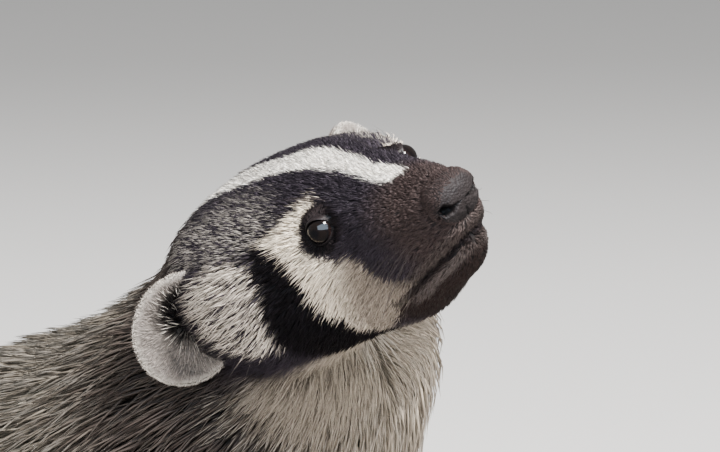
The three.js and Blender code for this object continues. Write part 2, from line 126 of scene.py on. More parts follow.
# %% The camera
PHOTO_WIDTH = 720
PHOTO_HEIGHT = 452
PIXELS_PER_METRE = 2857.0
HEAD_PIXEL = (361.8, 195.3)
CAMERA_AZIMUTH = math.radians(30)
CAMERA_ELEVATION = math.radians(6)
CAMERA_DISTANCE = 3.2
SENSOR_WIDTH = 36.0
CLIP_END = 100

toward = Vector((
    math.sin(CAMERA_AZIMUTH) * math.cos(CAMERA_ELEVATION),
    -math.cos(CAMERA_AZIMUTH) * math.cos(CAMERA_ELEVATION),
    math.sin(CAMERA_ELEVATION),
))
picture_right = Vector((math.cos(CAMERA_AZIMUTH), math.sin(CAMERA_AZIMUTH), 0))
picture_up = toward.cross(picture_right)
between_eyes = Vector(to_frame(on_head([0, 0, 0])))
aim = between_eyes + picture_right * ((PHOTO_WIDTH / 2 - HEAD_PIXEL[0]) / PIXELS_PER_METRE)
aim = aim + picture_up * ((HEAD_PIXEL[1] - PHOTO_HEIGHT / 2) / PIXELS_PER_METRE)

camera_data = bpy.data.cameras.new("camera")
camera_data.sensor_width = SENSOR_WIDTH
camera_data.lens = PIXELS_PER_METRE * CAMERA_DISTANCE * SENSOR_WIDTH / PHOTO_WIDTH
camera_data.clip_end = CLIP_END
camera = bpy.data.objects.new("camera", camera_data)
bpy.context.collection.objects.link(camera)
camera.location = aim + toward * CAMERA_DISTANCE
camera.rotation_euler = toward.to_track_quat("Z", "Y").to_euler()
bpy.context.scene.camera = camera
print("lens", round(camera_data.lens, 1), "mm at", CAMERA_DISTANCE, "m")

# %% [markdown]
# Colours are written as the sRGB hex values that a picture editor shows. The shader works in linear light,
# so one function turns each value. The coat's palette is the American badger's: a white stripe, cream
# cheeks, a black badge before each ear, a brown-black mask, and a body of grizzled grey and buff.

# %% Colours of the coat and skin


def linear(hex_value):
    """An sRGB hex value as linear red, green and blue"""
    parts = np.array([int(hex_value[i:i + 2], 16) for i in (1, 3, 5)]) / 255
    return np.where(parts <= 0.04045, parts / 12.92, ((parts + 0.055) / 1.055) ** 2.4)


WHITE_STRIPE = linear("#fbf7f0")
CREAM = linear("#ddd2c1")
CHEEK_GREY = linear("#857b70")
CHEEK_FRONT = linear("#3d3634")
MASK = linear("#302b32")
MUZZLE = linear("#3b3130")
JAW = linear("#2a211f")
LIP_EDGE = linear("#433b39")
LIP_GREY = linear("#5b5351")
BADGE = linear("#141013")
FROST = linear("#cfc8be")
EAR_PALE = linear("#bfb9b1")
EAR_GREY = linear("#857e79")
# The ear's cup is painted near black: painted shade of its opening
EAR_CUP_SHADE = linear("#181312")
PREAURICULAR = linear("#c6bdb2")
THROAT = linear("#a59a8b")
NAPE_DARK = linear("#3a3330")
BACK_GREY = linear("#857e72")
FLANK_BUFF = linear("#998970")
BELLY_BUFF = linear("#c4b598")
BODY_BAND = linear("#2e2723")
LEG_DARK = linear("#211a18")
TAIL_BUFF = linear("#87745a")
BARE_SKIN = linear("#1b1516")

# %% [markdown]
# Every body form is a loft: rings of a rounded outline, swept along a smooth curve. The curve and the ring
# sizes both run through a few named stations, so a change to one station reshapes the form smoothly. The
# same stations shape the solids, and an inset draws the skin inwards by the depth of the coat.

# %% Lofted forms


def curve(points, t):
    """A smooth curve through points at t from 0 to 1, and the way it runs there"""
    points = np.asarray(points, float)
    padded = np.vstack([2 * points[0] - points[1], points, 2 * points[-1] - points[-2]])
    span = np.clip(t, 0, 1) * (len(points) - 1)
    k = np.minimum(span.astype(int), len(points) - 2)
    s = (span - k)[:, None]
    p0, p1, p2, p3 = (padded[k + n] for n in range(4))
    pairs = ((p0, p1), (p1, p2), (p2, p3))
    gaps = [np.maximum(np.linalg.norm(b - a, axis=1) ** 0.5, 1e-4)[:, None] for a, b in pairs]
    m1 = ((p1 - p0) / gaps[0] - (p2 - p0) / (gaps[0] + gaps[1]) + (p2 - p1) / gaps[1]) * gaps[1]
    m2 = ((p2 - p1) / gaps[1] - (p3 - p1) / (gaps[1] + gaps[2]) + (p3 - p2) / gaps[2]) * gaps[1]
    a = 2 * p1 - 2 * p2 + m1 + m2
    b = -3 * p1 + 3 * p2 - 2 * m1 - m2
    return ((a * s + b) * s + m1) * s + p1, (3 * a * s + 2 * b) * s + m1


def unit(ways):
    """The same directions, each one long"""
    return ways / np.maximum(np.linalg.norm(ways, axis=-1, keepdims=True), 1e-12)


def smooth(value, low, high):
    """0 below low, 1 above high, and a soft step between; low may be the higher"""
    s = np.clip((np.asarray(value, float) - low) / (high - low), 0, 1)
    return s * s * (3 - 2 * s)


THINNEST = 1.2


class Form:
    """Stations (place, half width, up, down, dorsal way), from the rear to the front"""

    def __init__(self, stations, square=2.2):
        self.at = np.array([s[0] for s in stations], float)
        self.size = np.array([s[1] for s in stations], float)
        self.dorsal = np.array([s[2] if len(s) > 2 else (0, 0, 1) for s in stations], float)
        self.square = square

    def rings(self, ring_count, sides, inset=0.0):
        """Rings of points round the form, drawn inwards by an inset"""
        t = np.linspace(0, 1, ring_count + 1)
        at, forward = curve(self.at, t)
        size = np.maximum(curve(self.size, t)[0] - inset, THINNEST)
        forward = unit(forward)
        span = t * (len(self.dorsal) - 1)
        low = np.minimum(span.astype(int), len(self.dorsal) - 2)
        share = (span - low)[:, None]
        dorsal = self.dorsal[low] * (1 - share) + self.dorsal[low + 1] * share
        left = unit(np.cross(dorsal, forward))
        up = np.cross(forward, left)
        angle = np.arange(sides) / sides * 2 * math.pi
        c, s = np.cos(angle), np.sin(angle)
        across = np.sign(c) * np.abs(c) ** (2 / self.square)
        rise = np.sign(s) * np.abs(s) ** (2 / self.square)
        vertical = np.where(s[None, :] > 0, size[:, 1:2], size[:, 2:3]) * rise[None, :]
        rings = at[:, None] + left[:, None] * (size[:, 0:1] * across[None, :])[..., None]
        rings = rings + up[:, None] * vertical[..., None]
        rings[0] += forward[0] * inset
        rings[-1] -= forward[-1] * inset
        return rings


def loft_faces(ring_count, sides, first=0):
    """The faces of a loft of rings, closed by a pole at each end"""
    faces = []
    for r in range(ring_count - 1):
        for k in range(sides):
            n = (k + 1) % sides
            a = first + r * sides
            faces.append((a + k, a + n, a + sides + n, a + sides + k))
    rear = first + ring_count * sides
    last = first + (ring_count - 1) * sides
    for k in range(sides):
        n = (k + 1) % sides
        faces.append((rear, first + n, first + k))
        faces.append((rear + 1, last + k, last + n))
    return faces


def loft_mesh(rings):
    """Vertices and faces of one closed loft, its rings running anticlockwise seen from the front"""
    count, sides = rings.shape[:2]
    poles = np.stack([rings[0].mean(axis=0), rings[-1].mean(axis=0)])
    return np.vstack([rings.reshape(-1, 3), poles]), loft_faces(count, sides)


def new_object(name, vertices, faces):
    """A mesh object in the scene"""
    mesh = bpy.data.meshes.new(name)
    mesh.from_pydata([tuple(v) for v in vertices], [], faces)
    mesh.update()
    obj = bpy.data.objects.new(name, mesh)
    bpy.context.collection.objects.link(obj)
    return obj


def joined(name, parts):
    """One object from several lofts, in the plan's millimetres"""
    vertices, faces, first = [], [], 0
    for places, sides in parts:
        vertices.append(places)
        faces += [tuple(first + i for i in face) for face in sides]
        first += len(places)
    return new_object(name, to_frame(np.vstack(vertices)), faces)


def write_colours(mesh, name, colours):
    """Writes a colour at each vertex, under a name that a material reads"""
    layer = mesh.color_attributes.new(name, "FLOAT_COLOR", "POINT")
    rgba = np.column_stack([colours, np.ones(len(colours))])
    layer.data.foreach_set("color", rgba.astype(np.float32).ravel())


def dress(obj, material):
    """Gives an object smooth shading and one material"""
    mesh = obj.data
    mesh.polygons.foreach_set("use_smooth", np.ones(len(mesh.polygons), bool))
    mesh.materials.clear()
    mesh.materials.append(material)


# %% [markdown]
# The trunk is flat and wide, with haunches lower than the shoulders. The neck rises steeply and bends to
# the right, and the head is a wedge: broad across the jaw muscles, narrow at the muzzle.

# %% Stations of the trunk, neck, head and tail
NECK_DORSAL = head_way([0, 0, 1])
MID_DORSAL = unit(np.array([-0.5, 0, 1]) + NECK_DORSAL)
TAIL_LENGTH = 128.0

torso_form = Form([
    ((-334, 0, 112), (12, 10, 10)),
    ((-324, 0, 114), (46, 38, 36)),
    ((-296, 0, 116), (78, 60, 47)),
    ((-250, 0, 118), (99, 74, 54)),
    ((-185, 0, 119), (112, 83, 58)),
    ((-115, 0, 121), (115, 88, 60)),
    ((-50, 0, 125), (108, 89, 61)),
    ((5, 0, 131), (93, 82, 59)),
    ((42, 0, 136), (74, 66, 52)),
    ((62, 0, 139), (44, 40, 34)),
    ((70, 0, 140), (12, 12, 10)),
])
neck_form = Form([
    ((-112, 2, 134), (62, 66, 50)),
    ((-58, 0, 146), (92, 74, 62), (-0.3, 0, 1)),
    ((-12, -4, 166), (92, 72, 66), (-0.5, 0, 0.85)),
    ((26, -14, 198), (79, 58, 64), (-0.68, 0, 0.7)),
    (on_head([-88, -4, -48]), (63, 47, 54), MID_DORSAL),
    (on_head([-66, 0, -27]), (46, 32, 37), NECK_DORSAL),
    (on_head([-46, 0, -16]), (26, 18, 18), NECK_DORSAL),
])
HEAD_SECTIONS = np.array([
    # x, middle height, half width, up, down
    [-98, -16, 18, 12, 14],
    [-94, -16, 31, 21, 24],
    [-82, -15, 42, 26, 33],
    [-64, -14, 49, 29, 37],
    [-44, -14, 50, 30, 38],
    [-22, -13, 43.5, 28, 37],
    [-2, -13, 33, 26, 34],
    [15, -13, 25.5, 22.5, 31],
    [30, -13, 20, 19, 25.5],
    [42, -12, 14.8, 15, 17.2],
    [49, -10.5, 11.5, 10.5, 11.5],
    [52.5, -9, 5, 5, 5],
])
HEAD_SQUARE = 2.25
head_form = Form(
    [(on_head([x, 0, z]), (w, u, d), NECK_DORSAL) for x, z, w, u, d in HEAD_SECTIONS],
    HEAD_SQUARE,
)
tail_form = Form([
    ((-342 - TAIL_LENGTH * 0.66, 12, 70), (4, 4, 4)),
    ((-342 - TAIL_LENGTH * 0.58, 11, 72), (13, 11, 11)),
    ((-342 - TAIL_LENGTH * 0.35, 7, 82), (22, 17, 17)),
    ((-342 - TAIL_LENGTH * 0.08, 2, 103), (26, 20, 20)),
    ((-322, 0, 124), (26, 21, 22)),
    ((-300, 0, 132), (12, 10, 10)),
])

# %% [markdown]
# A badger digs: its legs are short and thick, the forefeet broad, with five toes close together. One set of
# measures describes each kind of foot, and a function places any point of it from heel, outer edge and
# floor.

# %% Stations of the legs, soles and toes
# x and y of the foot's middle, its length and half width, its claws, the toes' spacing, its turn in degrees
FORE_FOOT = dict(x=34, y=84, length=64, width=25, claw=34, claw_radius=2.9, spread=9.2, turn=8)
HIND_FOOT = dict(x=-226, y=88, length=74, width=21, claw=17, claw_radius=2.3, spread=8, turn=-6)
TOES = 5
TOE_ARC = 0.022
LEADING_TOE = 1.7
FORWARD = (1, 0, 0)


def foreleg_form(side):
    """From the wrist up to the shoulder"""
    return Form([
        ((30, side * 84, 13), (20, 13, 20), FORWARD),
        ((26, side * 84, 28), (22, 18, 20), FORWARD),
        ((14, side * 84, 52), (27, 23, 24), FORWARD),
        ((-2, side * 80, 84), (33, 33, 32), FORWARD),
        ((-8, side * 70, 122), (30, 36, 34), FORWARD),
    ])


def hindleg_form(side):
    """From the heel up to the haunch"""
    return Form([
        ((-258, side * 86, 13), (18, 22, 14), FORWARD),
        ((-262, side * 88, 30), (22, 22, 18), FORWARD),
        ((-250, side * 90, 58), (29, 36, 30), FORWARD),
        ((-236, side * 86, 88), (35, 50, 42), FORWARD),
        ((-238, side * 74, 118), (32, 46, 42), FORWARD),
    ])


def foot_point(foot, side, ahead, aside, up):
    """A point of a foot, from its middle: ahead along it, aside to its outer edge, up from the floor"""
    turn = math.radians(foot["turn"]) * side
    x = ahead * math.cos(turn) + aside * side * math.sin(turn)
    y = aside * side * math.cos(turn) - ahead * math.sin(turn)
    return np.array([foot["x"] + x, side * foot["y"] + y, up])


def sole_form(foot, side):
    """The broad flat part of a foot, without its toes"""
    length, width = foot["length"], foot["width"]
    return Form([
        (foot_point(foot, side, -length * 0.5, 0, 9), (width * 0.45, 8, 12)),
        (foot_point(foot, side, -length * 0.38, 0, 10), (width * 0.8, 12, 14)),
        (foot_point(foot, side, -length * 0.05, 0, 11), (width * 0.95, 13, 14)),
        (foot_point(foot, side, length * 0.22, 0, 10), (width * 1.08, 11, 13)),
        (foot_point(foot, side, length * 0.36, 0, 9), (width * 0.8, 7, 12)),
    ])


def toe_aside(foot, k):
    """How far a toe is from the foot's middle line"""
    return (k - (TOES - 1) / 2) * foot["spread"]


def toe_reach(foot, k):
    """How far ahead a toe ends: the row is an arc, and one toe leads"""
    return foot["length"] * (0.5 - TOE_ARC * (k - LEADING_TOE) ** 2)


def toe_form(foot, side, k):
    """One toe, which widens to its pad and is blunt where the claw starts"""
    reach, aside, length = toe_reach(foot, k), toe_aside(foot, k), foot["length"]

    def at(ahead, up):
        return foot_point(foot, side, ahead, aside * (0.75 + ahead / length / 2), up)

    return Form([
        (at(reach - 22, 10), (3.8, 5, 8)),
        (at(reach - 10, 9.5), (5.4, 7, 11)),
        (at(reach - 3, 8), (5.2, 6.4, 10)),
        (at(reach, 7), (2.6, 3.6, 5)),
    ])


# %% [markdown]
# On the real animal the skin has no seams, so the lofts are fused: a voxel remesh wraps all of them in one
# even net, and a smoothing pass melts the creases where they met. The face then needs a finer net than the
# flanks, so its faces are subdivided before lids, lips and cheeks are raised on it.

# %% Fuse the skin
SKIN_VOXEL = 0.0026
SKIN_SMOOTHING = 10
TRUNK_INSET = 12.0
NECK_INSET = 9.0
HEAD_INSET = 2.6
TAIL_INSET = 9.0
LEG_INSET = 5.0
FOOT_INSET = 1.0

skin_parts = [
    loft_mesh(torso_form.rings(48, 48, TRUNK_INSET)),
    loft_mesh(neck_form.rings(36, 44, NECK_INSET)),
    loft_mesh(head_form.rings(60, 56, HEAD_INSET)),
    loft_mesh(tail_form.rings(20, 20, TAIL_INSET)),
]
for side in (1, -1):
    skin_parts.append(loft_mesh(foreleg_form(side).rings(20, 28, LEG_INSET)))
    skin_parts.append(loft_mesh(hindleg_form(side).rings(20, 28, LEG_INSET)))
    for foot in (FORE_FOOT, HIND_FOOT):
        skin_parts.append(loft_mesh(sole_form(foot, side).rings(16, 24, FOOT_INSET)))
        for k in range(TOES):
            skin_parts.append(loft_mesh(toe_form(foot, side, k).rings(8, 12, FOOT_INSET * 0.5)))

skin = joined("skin", skin_parts)


def plain_mesh(obj):
    """Turns an object with modifiers into one plain mesh"""
    depsgraph = bpy.context.evaluated_depsgraph_get()
    mesh = bpy.data.meshes.new_from_object(obj.evaluated_get(depsgraph))
    obj.modifiers.clear()
    old = obj.data
    obj.data = mesh
    mesh.name = obj.name
    bpy.data.meshes.remove(old)


remesh = skin.modifiers.new("fuse", "REMESH")
remesh.mode = "VOXEL"
remesh.voxel_size = SKIN_VOXEL
melt = skin.modifiers.new("melt", "SMOOTH")
melt.factor = 0.5
melt.iterations = SKIN_SMOOTHING
plain_mesh(skin)
print("skin", len(skin.data.polygons), "faces")


# %% [markdown]
# Reading and writing vertices all at once keeps the sculpting fast. The net is then halved where the face
# needs it: once from behind the eyes forward, and once more round the eyes and on the lips and nose.

# %% Finer net on the face


def positions(mesh):
    """Places of a mesh's vertices"""
    flat = np.empty(len(mesh.vertices) * 3, np.float32)
    mesh.vertices.foreach_get("co", flat)
    return flat.reshape(-1, 3).astype(float)


def set_positions(mesh, places):
    """Moves a mesh's vertices to places"""
    mesh.vertices.foreach_set("co", np.asarray(places, np.float32).ravel())
    mesh.update()


def normals(mesh):
    """The ways out at a mesh's vertices"""
    flat = np.empty(len(mesh.vertices) * 3, np.float32)
    mesh.vertex_normals.foreach_get("vector", flat)
    return flat.reshape(-1, 3).astype(float)


FINE_FACE_FROM = -20.0
FINE_EYE_REACH = 13.0
FINE_LIP_FROM = 34.0


def eye_gap(local):
    """How far places of the head's frame are from the nearer eye's centre"""
    return np.linalg.norm(mirrored(local) - EYE_AT, axis=1)


def refine(obj, wanted):
    """Halves every edge whose two ends are both wanted"""
    net = bmesh.new()
    net.from_mesh(obj.data)
    net.verts.ensure_lookup_table()
    inside = wanted(to_head(np.array([v.co for v in net.verts])))
    edges = [edge for edge in net.edges if all(inside[v.index] for v in edge.verts)]
    bmesh.ops.subdivide_edges(net, edges=edges, cuts=1, use_grid_fill=True)
    bmesh.ops.triangulate(net, faces=[f for f in net.faces if len(f.verts) > 4])
    net.to_mesh(obj.data)
    net.free()


refine(skin, lambda local: local[:, 0] > FINE_FACE_FROM)
refine(skin, lambda local: (eye_gap(local) < FINE_EYE_REACH) | (local[:, 0] > FINE_LIP_FROM))
print("skin with a fine face", len(skin.data.polygons), "faces")

# %% [markdown]
# The face is sculpted by moving vertices along their normals. Each swelling or hollow is a soft bump with a
# place, a reach and a height in the head's frame. The mouth is a groove that follows a curve from corner to
# corner.

# %% Sculpt the face
FACE_RELIEF = [
    # place, reach, height
    ((-30, 44, -26), 22, 3.5),  # cheek muscle
    ((3, 22, 9), 9, 1.8),  # brow
    ((1, 28, 1), 10, -3.0),  # eye socket
    ((12, 22, -5), 9, -2.2),  # hollow before the eye
    ((-20, 43, -6), 16, -4.5),  # temple
    ((38, 15, -18), 11, 1.4),  # whisker pad
    ((20, 0, 12), 12, -1.2),  # bridge of the nose
    ((46, 0, 1), 9, 2.8),  # muzzle behind the nose pad
    ((41, 0, -31), 9, 3.2),  # chin
    ((2, 0, -47), 16, 3.0),  # throat
]
THIN_COAT_RAISE = 1.6
MOUTH_FRONT = 51.0
MOUTH_CORNER = 10.0
MOUTH_STEPS = 60
LIP_DEPTH = 2.0
LIP_REACH = 1.3


def head_half_width(x, z):
    """Half the head's width at a place along it and a height"""
    middle, half, up, down = (np.interp(x, HEAD_SECTIONS[:, 0], HEAD_SECTIONS[:, n]) for n in range(1, 5))
    rise = np.abs(z - middle) / np.where(z > middle, up, down)
    return half * np.maximum(1 - np.minimum(rise, 1) ** HEAD_SQUARE, 0) ** (1 / HEAD_SQUARE)


# The lips' line in the side view: x to the nose, z to the crown
MOUTH_X = [-20, 8, 14, 23, 30, 43, 48, 52, 60]
MOUTH_Z = [-35.5, -34.5, -33.3, -31, -28.4, -23.6, -21.1, -19.4, -19.4]


def mouth_height(x):
    """The height of the lips' line at a place along the head"""
    return np.interp(x, MOUTH_X, MOUTH_Z)


def mouth_line(back):
    """The line of the lips, from the front at 0 to a corner at 1"""
    x = MOUTH_FRONT + (MOUTH_CORNER - MOUTH_FRONT) * back ** 1.6
    return x, mouth_height(x)


def sculpt_face(places, ways):
    """Places of the face, moved along their ways out by its swellings, hollows and mouth"""
    local = to_head(places)
    both = mirrored(local)
    push = np.zeros(len(local))
    for at, reach, height in FACE_RELIEF:
        push += height * np.exp(-(np.linalg.norm(both - at, axis=1) / reach) ** 2)
    steps = np.linspace(0, 1, MOUTH_STEPS)
    line_x, line_z = mouth_line(steps)
    line = np.stack([line_x, head_half_width(line_x, line_z), line_z], axis=1)
    near = np.linalg.norm(both[:, None] - line[None], axis=2)
    nearest = near.min(axis=1)
    corner = smooth(steps[near.argmin(axis=1)], 1.0, 0.85)
    groove = np.exp(-(np.maximum(nearest - HEAD_INSET * 0.6, 0) / LIP_REACH) ** 2)
    push -= LIP_DEPTH * groove * (0.3 + 0.7 * corner)
    top = smooth(local[:, 2], -12, -2) * smooth(local[:, 0], 8, 30)
    below = smooth(local[:, 2], -24, -34) * smooth(local[:, 0], -30, 10)
    push += THIN_COAT_RAISE * np.maximum(top, below)
    return places + ways * (push * MM)[:, None]


SKIN_FLOOR_GAP = 0.0004
places = positions(skin.data)
places[:, 2] = np.maximum(places[:, 2], SKIN_FLOOR_GAP)
on_face = to_head(places)[:, 0] > -90
places[on_face] = sculpt_face(places[on_face], normals(skin.data)[on_face])
set_positions(skin.data, places)

# %% [markdown]
# The eyes sit in sockets. Inside the opening the skin is drawn in behind the ball; round the opening it is
# raised to hug the ball as the lids do, so that fur can grow right up to the lid's bare edge.

# %% Sockets
EYE_WAY = np.array([0.42, 0.88, 0.22])
EYE_LINE = np.array([1.0, 0.0, 0.25])
OPENING = np.array([5.3, 4.3])
LID_RISE = 0.45
LID_REACH = 5.0
LID_SLOPE = 0.35
SOCKET_DEPTH = 0.3
FRONT_OF_HEAD = -2


def eye_place(side):
    """The centre of an eye, in the plan"""
    return on_head(EYE_AT * [1, side, 1])


def eye_axes(side):
    """The ways of one eye: towards the front corner, up across the lids, and out"""
    out = head_way(EYE_WAY * [1, side, 1])
    fore = head_way(EYE_LINE)
    fore = unit(fore - out * (fore @ out))
    high = np.cross(out, fore)
    if high @ head_way([0, 0, 1]) < 0:
        high = -high
    return fore, high, out


def over_ball(off_axis):
    """How far out an eye's ball is at a distance from its axis, and past its edge a gentle slope inwards"""
    ball = np.sqrt(np.maximum(EYE_RADIUS ** 2 - off_axis ** 2, 0))
    return ball - LID_SLOPE * np.maximum(off_axis - EYE_RADIUS, 0)


def in_eye(places, side):
    """Places in one eye's millimetres, and how far each is outside the opening"""
    fore, high, out = eye_axes(side)
    offset = to_plan(places) - eye_place(side)
    a, b, depth = offset @ fore, offset @ high, offset @ out
    reach = np.hypot(a / OPENING[0], b / OPENING[1])
    beyond = (reach - 1) * np.hypot(a, b) / np.maximum(reach, 1e-6)
    return a, b, depth, beyond


places = positions(skin.data)
for side in (1, -1):
    a, b, depth, beyond = in_eye(places, side)
    hugging = over_ball(np.hypot(a, b)) + LID_RISE
    near = smooth(beyond, LID_REACH, 1.5) * (depth > FRONT_OF_HEAD)
    raised = depth + np.maximum(hugging - depth, 0) * near
    inside = smooth(beyond, 0.4, -0.6) * (depth > FRONT_OF_HEAD)
    wanted = raised * (1 - inside) + np.minimum(raised, EYE_RADIUS * SOCKET_DEPTH) * inside
    places += ((wanted - depth) * MM)[:, None] * eye_axes(side)[2]
set_positions(skin.data, places)

# %% [markdown]
# Ears: a badger's are low, round cups, set wide apart and level with the eyes. Each is one closed surface
# of revolution, a shallow bowl with a thick rolled rim, stretched to the ear's width and height and folded
# a little where the cartilage of the front edge turns in.

# %% Ears
EAR_WIDTH = 42.0
EAR_HEIGHT = 37.0
EAR_AT = np.array([-68.0, 49.5, -15.5])
EAR_FACING = np.array([0.8, 0.58, 0.12])
EAR_UP = np.array([0.0, 0.62, 0.78])
EAR_PROFILE = np.array([
    # radius as a share of the ear's, height along the way it faces
    (0.02, -8.6), (0.3, -8.2), (0.56, -6.9), (0.78, -4.9), (0.91, -2.3), (0.965, 0.4),
    (0.96, 1.7), (0.91, 2.0), (0.85, 1.6), (0.78, 0.7), (0.66, -0.9), (0.48, -2.9),
    (0.26, -4.4), (0.02, -4.9),
])

EAR_FRONT = EAR_PROFILE[:6:-1]
EAR_SIDES = 72
EAR_RINGS = 40
FOLD_HEIGHT = 1.5
FOLD_AT = 0.35
FOLD_REACH = 0.16
RIM_WAVE = 0.5


def ear_axes(side):
    """The ways of one ear: across it, up it, and the way it faces"""
    facing = head_way(EAR_FACING * [1, side, 1])
    across = unit(np.cross(head_way(EAR_UP * [1, side, 1]), facing))
    return across, np.cross(facing, across), facing


def make_ear(name, side):
    """One ear: its profile turned about the way it faces, with a fold inside and a wave in the rim"""
    flat_profile = np.column_stack([EAR_PROFILE, np.zeros(len(EAR_PROFILE))])
    profile = curve(flat_profile, np.linspace(0, 1, EAR_RINGS))[0]
    across, up, facing = ear_axes(side)
    centre = on_head(EAR_AT * [1, side, 1])
    angle = np.arange(EAR_SIDES) / EAR_SIDES * 2 * math.pi
    made = np.empty((EAR_RINGS, EAR_SIDES, 3))
    for r, (radius, height, _) in enumerate(profile):
        inside = smooth(r / EAR_RINGS, 0.5, 0.75)
        fold = np.exp(-((np.cos(angle) * radius + FOLD_AT) / FOLD_REACH) ** 2)
        ridge = inside * (FOLD_HEIGHT * fold * smooth(radius, 0.15, 0.5))
        wave = RIM_WAVE * np.sin(angle * 3 + 0.6) * smooth(radius, 0.7, 0.95)
        made[r] = (
            centre
            + across * (np.cos(angle) * radius * EAR_WIDTH / 2)[:, None]
            + up * (np.sin(angle) * radius * EAR_HEIGHT / 2)[:, None]
            + facing * (height + ridge + wave)[:, None]
        )
    ear = joined(name, [loft_mesh(made)])
    face_outwards(ear)
    return ear


def face_outwards(obj):
    """Merges doubles and turns every face outwards"""
    mesh = bmesh.new()
    mesh.from_mesh(obj.data)
    bmesh.ops.remove_doubles(mesh, verts=mesh.verts, dist=1e-7)
    bmesh.ops.recalc_face_normals(mesh, faces=mesh.faces)
    mesh.to_mesh(obj.data)
    mesh.free()


ears = {word: make_ear("ear_skin_" + word, side) for word, side in (("left", 1), ("right", -1))}

# %% [markdown]
# Markings are painted by rule, in the head's frame. A patch on the cheek is an outline in the side view,
# and the white stripe is a band whose two edges are given along the head. How far inside an edge a place
# lies decides its colour, with a little raggedness, as hair has. One function gives the colour anywhere, so
# skin and tufts agree.

# %% Markings of the head
# Each outline is drawn in the side view: x to the nose, z to the crown, in millimetres
CREAM_OUTLINE = [
    (-3.8, 8.2), (-6.5, 9), (-10.4, 8.9), (-13.2, 8.3), (-15.1, 7.1), (-17, 5.8), (-20.4, 5),
    (-26.1, 3.4), (-22, 0.9), (-18.2, -1.7), (-14.8, -4.4), (-12.3, -7.9), (-10.4, -13), (-10, -19.8),
    (-9.7, -24.1), (-8.5, -28.2), (-6, -32), (-6.5, -37), (-5, -44), (2, -42), (12, -36.5),
    (22.8, -31.2), (30, -28.9), (37, -26.6), (42, -24), (43, -22), (37.9, -23.3), (30.5, -25),
    (24.4, -25.4), (19.8, -24.5), (16.8, -21.7), (15, -18), (14.2, -13.8), (9.9, -11.2), (5, -10.9),
    (0.6, -9.2), (-3.2, -6.9), (-5.9, -4.8), (-8, -2.2), (-7.1, 0.7), (-5.2, 3.9), (-2.1, 6.7),
]
BADGE_OUTLINE = [
    (-29.1, 2.8), (-26.1, 3.4), (-18.2, -1.7), (-12.3, -7.9), (-10, -15.8), (-9.7, -24.1), (-6, -32),
    (-6.5, -38), (-4, -45), (-4, -60), (-32, -60), (-29, -40), (-28, -27.2), (-27.4, -19.4),
    (-26.5, -12.4), (-27.1, -6.5), (-28.2, -1),
]
PREAURICULAR_OUTLINE = [
    (-47.8, 2), (-39.2, 1.9), (-29.2, -1.6), (-27.1, -6.5), (-26.5, -12.4), (-27.4, -19.4), (-29, -32),
    (-42, -32), (-56, -24), (-58, -11.9), (-57, -3),
]
GRIZZLED_OUTLINE = [
    (-84, 6), (-63.2, 11.3), (-52.1, 12.7), (-39.2, 12.8), (-25.5, 10.4), (-17.1, 7.1), (-23.6, 5),
    (-28.1, 2.7), (-39.2, 1.9), (-56, 2.5), (-84, -6),
]
STRIPE_X = [-140, -90, -72, -60, -51, -44, -36, -30, -23, -13, -3, 6, 14, 20, 27]
STRIPE_RIGHT = [-7, -7, -6.5, -5.5, -3.7, -2.3, -1, 0, 0.7, -0.4, -1.3, -2.3, -3.8, -4.3, -4.6]
STRIPE_LEFT = [7, 8, 9, 10, 11, 13.5, 15.5, 15.6, 14, 11, 8.4, 5.8, 6.1, 6.4, 4.7]
STRIPE_FRONT = 27.2
STRIPE_EDGE_MM = 0.8
FAR_SIDE_DROP = 5.0
RAGGED_MM = 0.55
UPPER_LIP_AT = 3.2
LOWER_LIP_AT = 3.4
PALE_BEFORE_EAR = 0.74
DARK_IN_STRIPE = 0.3


def inside_outline(outline, places):
    """How far inside an outline each place of a plane is: negative outside"""
    corners = np.asarray(outline, float)
    following = np.roll(corners, -1, axis=0)
    gap = np.full(len(places), 1e9)
    inside = np.zeros(len(places), bool)
    for a, b in zip(corners, following):
        along = b - a
        share = np.clip(((places - a) @ along) / (along @ along), 0, 1)
        gap = np.minimum(gap, np.linalg.norm(places - (a + share[:, None] * along), axis=1))
        crosses = (a[1] > places[:, 1]) != (b[1] > places[:, 1])
        level = a[0] + (places[:, 1] - a[1]) * along[0] / (along[1] if along[1] else 1e-9)
        inside ^= crosses & (places[:, 0] < level)
    return np.where(inside, gap, -gap)


def blend(colour, paint, cover):
    """A colour with paint over it, its cover from 0 to 1"""
    return colour * (1 - cover[:, None]) + paint * cover[:, None]


